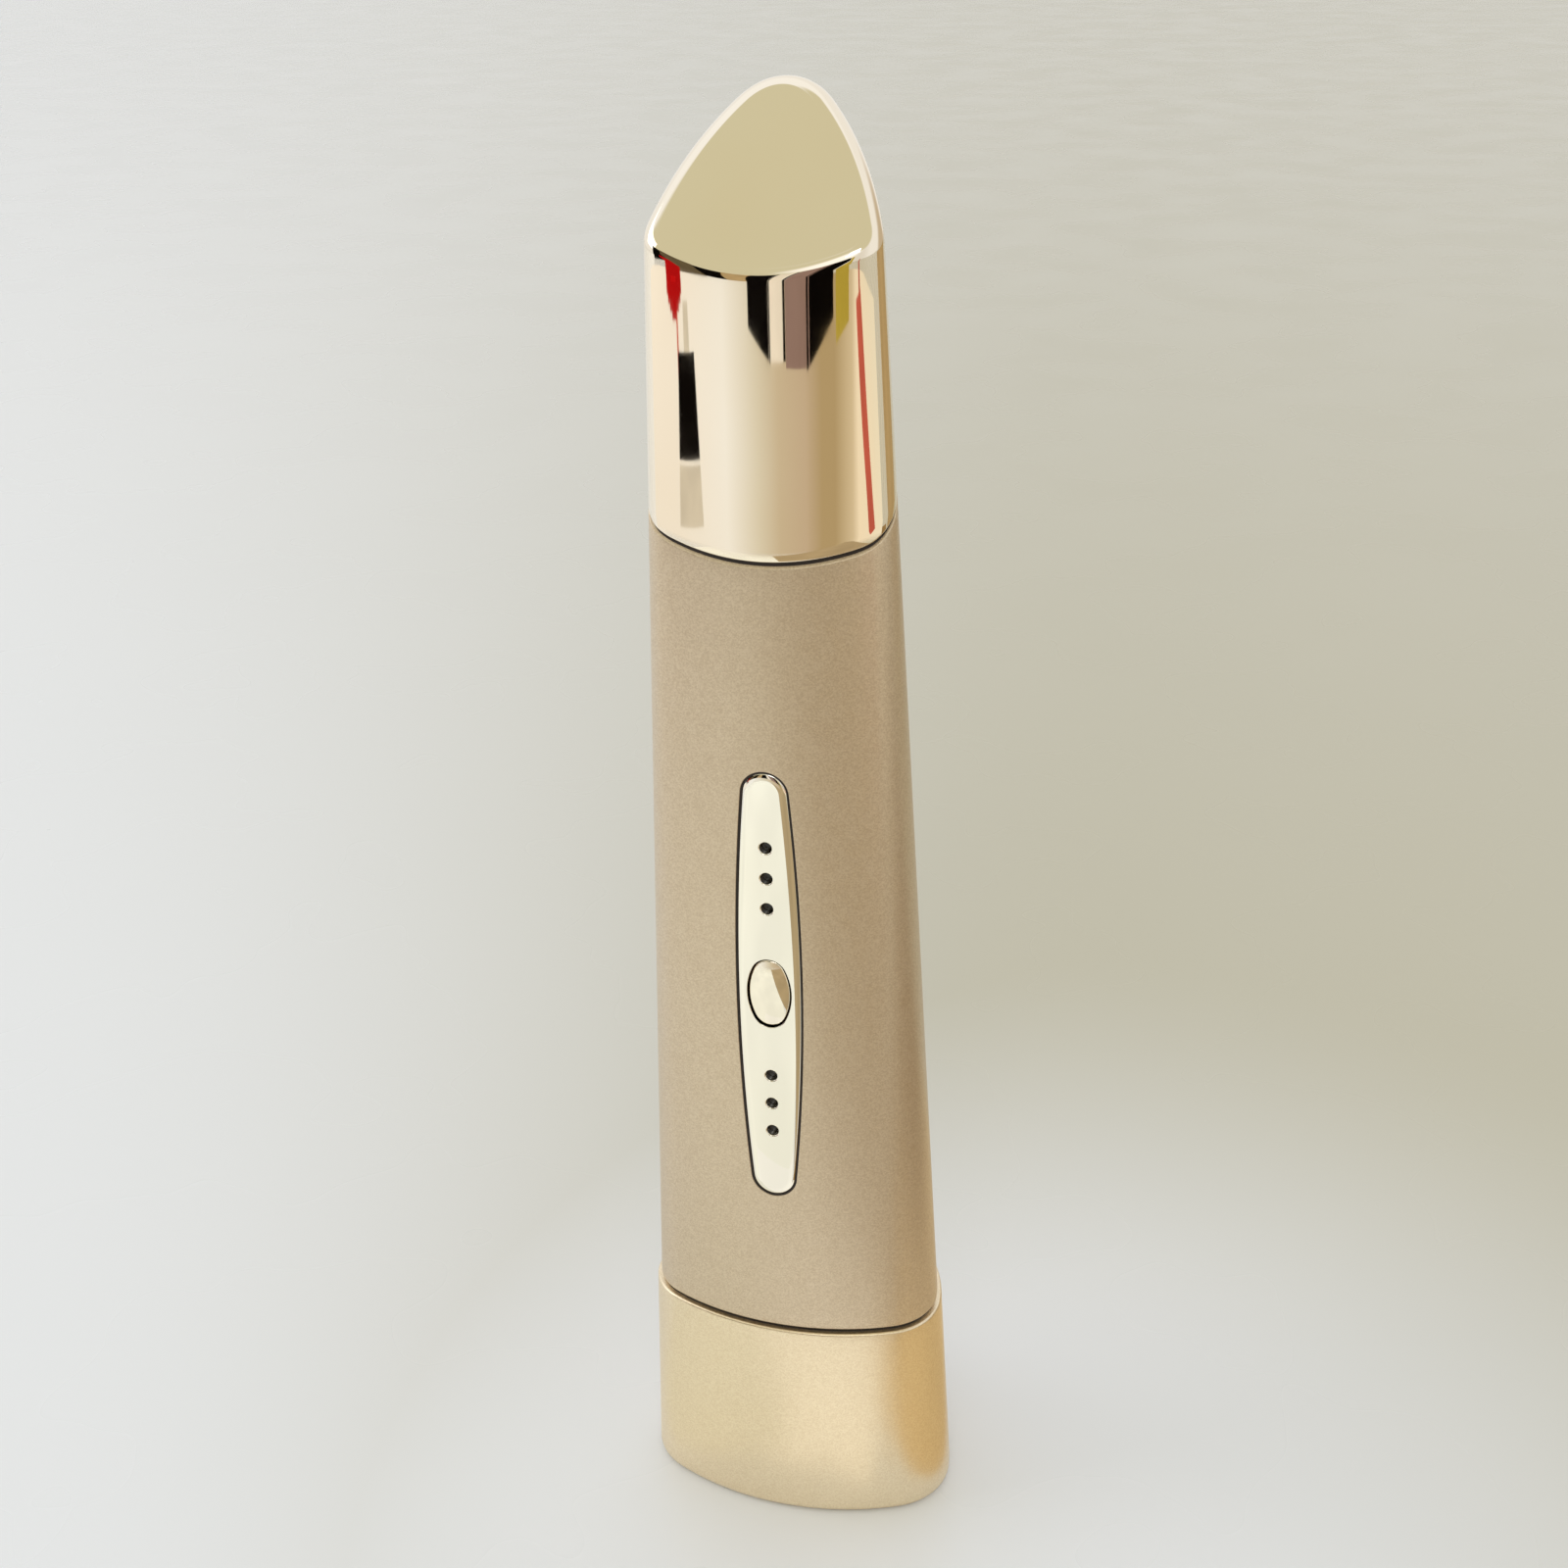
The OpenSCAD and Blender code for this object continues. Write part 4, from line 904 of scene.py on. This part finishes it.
# Cards round the wand, seen only in its metal faces and in the table's sheen, as painted reflections; a
# card that glows is painted light: name, lowest and highest corner in mm while the card is straight in
# front, its turn about the wand in degrees, its slant (how far it goes back for each mm to the right),
# tint and glow. A card without height is a sheet that looks up.
CARDS = (
    ("card_room", (-560, -770, 0), (30, -750, 420), -12, 0, DARK, 0),
    ("card_room_left", (-110, -800, 0), (330, -780, 420), -58, 0, DARK, 0),
    ("card_shelf", (-80, -746, 0), (80, -740, 420), -39.5, 0, MOSS, 0),
    ("card_shelf_pale", (-50, -746, 0), (50, -740, 420), -21.5, 0, TAN, 0),
    ("card_post_left", (-41, -600, 0), (41, -570, 330), -14, 0.7, DARK, 0),
    ("card_post_pale", (-27, -565, 0), (24, -545, 330), -7.4, 0, PALE_GREY, 0.4),
    ("card_post_thin", (-4, -556, 0), (4, -546, 330), -4.4, 0, DARK, 0),
    ("card_post_mid", (-38, -555, 0), (44, -535, 330), 0.2, 0, BROWN, 0),
    ("card_post_right", (-57, -600, 0), (40, -580, 330), 10, -0.9, DARK, 0),
    ("card_post_yellow", (-34, -620, 0), (14, -600, 330), 18, -0.8, YELLOW, 0.1),
    ("card_red", (-36, -690, 0), (36, -662, 140), -47.4, 0, RED, 0.1),
    ("card_red_low", (-30, -660, 0), (30, -645, 60), -47.4, 0, RED, 0.1),
    ("card_red_lower", (-21, -643, 0), (21, -630, 30), -47.4, 0, RED, 0.1),
    ("card_red_tip", (-11, -628, 0), (11, -615, 15), -47.4, 0, RED, 0.1),
    ("card_line", (-3, -616, 3), (3, -430, 3), -46.5, 0, RED_BROWN, 0.1),
    ("card_bar_far", (-8, -640, 3), (14, -550, 3), -43.2, 0, PALE_GREY, 0),
    ("card_bar", (-32, -548, 4), (32, -412, 4), -43.2, 0, DARK, 0),
    ("card_bar_near", (-32, -410, 3), (32, -352, 3), -43.2, 0, PALE_GREY, 0),
    ("card_rod", (146, -600, 8), (246, -250, 8), 14.3, 0, RED_BROWN, 0.1),
    ("card_rod_post", (-14, -660, 0), (14, -640, 150), 34.6, 0, RED_BROWN, 0.1),
    ("card_side", (230, 70, 0), (240, 500, 110), 0, 0, TAN, 0),
    # Sheets on the table: card_table_right and card_button are painted shade, and card_cap_right,
    # card_plate and the card_near ones are painted light that glows
    ("card_table_right", (19, -60, 0.3), (330, 60, 0.3), 0, 0, GOLD, 0),
    ("card_cap_right", (18, -36, 0.6), (62, 70, 0.6), 0, 0, PALE_GOLD, 0.05),
    ("card_plate", (-160, -250, 0.4), (12, -50, 0.4), -1, 0, PAPER, 0.24),
    ("card_near", (-30, -74, 0.5), (16, -20, 0.5), -1, 0, WHITE, 0.16),
    ("card_near_left", (-20, -60, 0.7), (16, -19, 0.7), -40, 0, PAPER, 0.1),
    ("card_near_right", (-16, -60, 0.8), (-1, -19, 0.8), 38, 0, WHITE, 0.18),
    ("card_button", (44, -250, 1.2), (200, -50, 1.2), -20.5, 0, SAND, 0),
)
TABLE_MIDDLE = (50, -180, 0)           # mm; the table's painted shade turns about this place
TABLE_BRIGHT_WAY = (-0.985, -0.174, 0)
TABLE_TURN = (-0.08, 0.55)             # cosines to that way between which the table turns from painted shade to painted light
# Painted light and shade of the table: lit white to the left, warm shade to the right
TABLE_LIT_WHITE = srgb(238, 241, 247)
TABLE_SHADED_WARM = srgb(199, 195, 177)
TABLE_LIT_SPOT = (14, -30, 0)              # mm; a painted pool of light, a paler place round the wand's foot
TABLE_LIT_SPOT_FADE = (0.15, 0.02)         # m from there at which it begins and is whole
# Warm sheet on the table in front of the wand, painted light and shade for the metal to mirror: pale to
# either side and warm painted shade ahead (mm)
SHEET_RADII = (95, 740)
SHEET_Z = 1
SHEET_FADE = (0.20, 0.30)              # m from the wand's axis between which it appears
# Painted light: the sheet glows though it is no lamp
SHEET_GLOW = 0.1
# Its azimuth in degrees, right of straight ahead, and its tint there as painted light and shade
SHEET_TINTS = (
    (-85, srgb(236, 231, 227)),
    (-50, srgb(236, 231, 227)),
    (-28, srgb(238, 238, 240)),
    (-15, srgb(212, 206, 192)),
    (-7, srgb(196, 182, 160)),
    (3, srgb(190, 172, 151)),
    (9, srgb(173, 153, 118)),
    (14, srgb(173, 153, 118)),
    (20, srgb(204, 188, 160)),
    (28, srgb(238, 225, 204)),
    (85, srgb(242, 235, 219)),
)


def stage_mesh(name, points, faces):
    """Object of the stage, from points in millimetres."""
    mesh = bpy.data.meshes.new(name)
    mesh.from_pydata([Vector(p) * MM for p in points], [], faces)
    thing = bpy.data.objects.new(name, mesh)
    bpy.context.scene.collection.objects.link(thing)
    return thing


def build_floor():
    """Pale table with painted light and shade: warmer and darker to the right as painted shade, with a
    painted pool of light, a paler place, round the wand's foot.
    """
    half = 3000
    steps = 8
    count = steps + 1
    marks = [-half + 2 * half * k / steps for k in range(count)]
    corners = [r * count + c for r in range(steps) for c in range(steps)]
    floor = stage_mesh(
        "floor",
        [(x, y, 0) for y in marks for x in marks],
        [(c, c + 1, c + count + 1, c + count) for c in corners])
    finish = Finish("floor_painted_light_and_shade", IOR=1.45)
    away = finish.vector_math("SUBTRACT", finish.place, Vector(TABLE_MIDDLE) * MM)
    away = finish.vector_math("NORMALIZE", away)
    share = finish.vector_math("DOT_PRODUCT", away, TABLE_BRIGHT_WAY)
    from_spot = finish.vector_math("SUBTRACT", finish.place, Vector(TABLE_LIT_SPOT) * MM)
    near = finish.vector_math("LENGTH", from_spot)
    # Painted light and shade: pale where lit to the left or near the foot, warm where shaded
    lit_to_left = finish.mapped(share, *TABLE_TURN)
    pale = finish.combined("MAXIMUM", lit_to_left, finish.mapped(near, *TABLE_LIT_SPOT_FADE))
    finish.feed("Base Color", finish.ramp(pale, (0.0, TABLE_SHADED_WARM), (1.0, TABLE_LIT_WHITE)))
    finish.feed("Roughness", finish.ramp(finish.noise(40, 2), (0.3, 0.24), (0.7, 0.30)))
    floor.data.materials.append(finish.material)


def aim(thing, target):
    way = Vector(target) - thing.location
    thing.rotation_euler = way.to_track_quat("-Z", "Y").to_euler()


def soft_box(name, place, target, size, power):
    """Rectangular area lamp that the camera doesn't see."""
    light = bpy.data.lights.new(name, "AREA")
    light.shape = "RECTANGLE"
    light.size, light.size_y = size
    light.energy = power
    thing = bpy.data.objects.new(name, light)
    thing.location = place
    thing.visible_camera = False
    bpy.context.scene.collection.objects.link(thing)
    aim(thing, target)


def build_world():
    """Pale room, painted by direction."""
    world = bpy.data.worlds.new("studio")
    world.use_nodes = True
    bpy.context.scene.world = world
    nodes = world.node_tree.nodes
    links = world.node_tree.links
    background = nodes["Background"]
    background.inputs["Strength"].default_value = 1.0
    way = nodes.new("ShaderNodeTexCoord").outputs["Generated"]

    def towards(direction, near, far):
        """1 within the angle near of the direction, fading to 0 at the angle far (degrees)."""
        dot = nodes.new("ShaderNodeVectorMath")
        dot.operation = "DOT_PRODUCT"
        dot.inputs[1].default_value = Vector(direction).normalized()
        links.new(way, dot.inputs[0])
        fade = nodes.new("ShaderNodeMapRange")
        fade.interpolation_type = "SMOOTHSTEP"
        fade.inputs["From Min"].default_value = math.cos(math.radians(far))
        fade.inputs["From Max"].default_value = math.cos(math.radians(near))
        links.new(dot.outputs["Value"], fade.inputs["Value"])
        return fade.outputs["Result"]

    def tinted(colour, share, tint):
        mix = nodes.new("ShaderNodeMix")
        mix.data_type = "RGBA"
        mix.inputs["B"].default_value = (*tint, 1)
        if isinstance(colour, tuple):
            mix.inputs["A"].default_value = (*colour, 1)
        else:
            links.new(colour, mix.inputs["A"])
        links.new(share, mix.inputs["Factor"])
        return mix.outputs["Result"]

    colour = WALL_LIGHT
    for direction, near, far, light in ROOM_PATCHES:
        colour = tinted(colour, towards(direction, near, far), light)
    links.new(colour, background.inputs["Color"])


def one_sided(finish, cover=None):
    """Shows the surface from its front only, so that the table under a sheet doesn't mirror it."""
    behind = finish.nodes.new("ShaderNodeNewGeometry").outputs["Backfacing"]
    front = finish.combined("SUBTRACT", 1, behind)
    if cover is not None:
        front = finish.combined("MULTIPLY", cover, front)
    finish.feed("Alpha", front)


def stage_only(thing):
    """A card shows in mirrors only, as a painted reflection: it isn't seen itself and throws no light or
    shadow.
    """
    thing.visible_camera = False
    thing.visible_diffuse = False
    thing.visible_shadow = False


def matt(name, **values):
    """Finish of a card, which mirrors nothing itself."""
    return Finish(name + "_matt", Roughness=0.9, Specular_IOR_Level=0.0, **values)


def stage_card(name, low, high, turn, slant, tint, glow):
    """Matt box or sheet, turned about the wand, as a photographer's flag is; a painted reflection, whose
    glow is painted light.
    """
    xs, ys, zs = zip(low, high)
    corners = [Vector((x, y + slant * x, z)) for z in zs for y in ys for x in xs]
    turning = Matrix.Rotation(math.radians(turn), 3, "Z")
    points = [turning @ corner for corner in corners]
    # Painted light: the card glows in its own tint
    finish = matt(name, Emission_Color=tint, Emission_Strength=glow)
    if low[2] == high[2]:
        card = stage_mesh(name, points[:4], [(0, 1, 3, 2)])
        one_sided(finish)
    else:
        faces = [(0, 1, 3, 2), (4, 6, 7, 5), (0, 4, 5, 1), (2, 3, 7, 6), (0, 2, 6, 4), (1, 5, 7, 3)]
        card = stage_mesh(name, points, faces)
        outward(card.data)
    deep = (*(0.85 * v for v in tint[:3]), 1)
    finish.feed("Base Color", finish.ramp(finish.noise(60, 2), (0.35, deep), (0.65, tint)))
    card.data.materials.append(finish.material)
    stage_only(card)


def stage_sheet():
    """Warm sheet on the table in front of the wand, painted light and shade seen only in mirrors; its
    tint changes round the wand, and it glows as painted light.
    """
    first = SHEET_TINTS[0][0]
    last = SHEET_TINTS[-1][0]
    steps = 60
    turns = [math.radians(first + (last - first) * k / steps) for k in range(steps + 1)]
    points = [(r * math.sin(a), -r * math.cos(a), SHEET_Z) for r in SHEET_RADII for a in turns]
    faces = [(k, steps + 1 + k, steps + 2 + k, k + 1) for k in range(steps)]
    sheet = stage_mesh("sheet_painted_light_and_shade", points, faces)
    finish = matt("sheet_painted_light_and_shade", Emission_Strength=SHEET_GLOW)
    parts = finish.parts_of(finish.place)
    azimuth = finish.combined("ARCTAN2", parts["X"], finish.combined("MULTIPLY", parts["Y"], -1))
    share = finish.nodes.new("ShaderNodeMapRange")
    share.inputs["From Min"].default_value = turns[0]
    share.inputs["From Max"].default_value = turns[-1]
    finish.links.new(azimuth, share.inputs["Value"])
    stops = [((a - first) / (last - first), tint) for a, tint in SHEET_TINTS]
    tint = finish.ramp(share.outputs["Result"], *stops)
    finish.feed("Base Color", tint)
    finish.feed("Emission Color", tint)
    away = finish.vector_math("LENGTH", finish.place)
    one_sided(finish, finish.mapped(away, *SHEET_FADE))
    sheet.data.materials.append(finish.material)
    stage_only(sheet)


def place_camera():
    """The photograph's viewpoint: a close camera, a little above and to the right of the front."""
    image_px = 1600
    focal_px = 2142
    sensor_mm = 36
    pitch = math.radians(24.32)
    roll = math.radians(-1.25)
    yaw = math.radians(16.32)
    spot = Vector((50.6, FRONT_LINE - 166.2, 163.4)) * MM      # to the right, in front and above
    right = Vector((math.cos(yaw), math.sin(yaw), 0))
    ahead = Vector((-math.sin(yaw) * math.cos(pitch), math.cos(yaw) * math.cos(pitch), -math.sin(pitch)))
    up = right.cross(ahead)
    across = right * math.cos(roll) + up * math.sin(roll)
    upright = up * math.cos(roll) - right * math.sin(roll)
    data = bpy.data.cameras.new("camera")
    data.sensor_width = sensor_mm
    data.lens = focal_px / image_px * sensor_mm
    data.clip_start = 0.01
    camera = bpy.data.objects.new("camera", data)
    turn = Matrix((across, upright, -ahead)).transposed()
    camera.matrix_world = Matrix.Translation(spot) @ turn.to_4x4()
    bpy.context.scene.collection.objects.link(camera)
    bpy.context.scene.camera = camera


build_floor()
build_world()
stage_sheet()
for card in CARDS:
    stage_card(*card)
for lamp in STUDIO_LAMPS:
    soft_box(*lamp)
place_camera()
bpy.context.scene.view_settings.view_transform = "Standard"
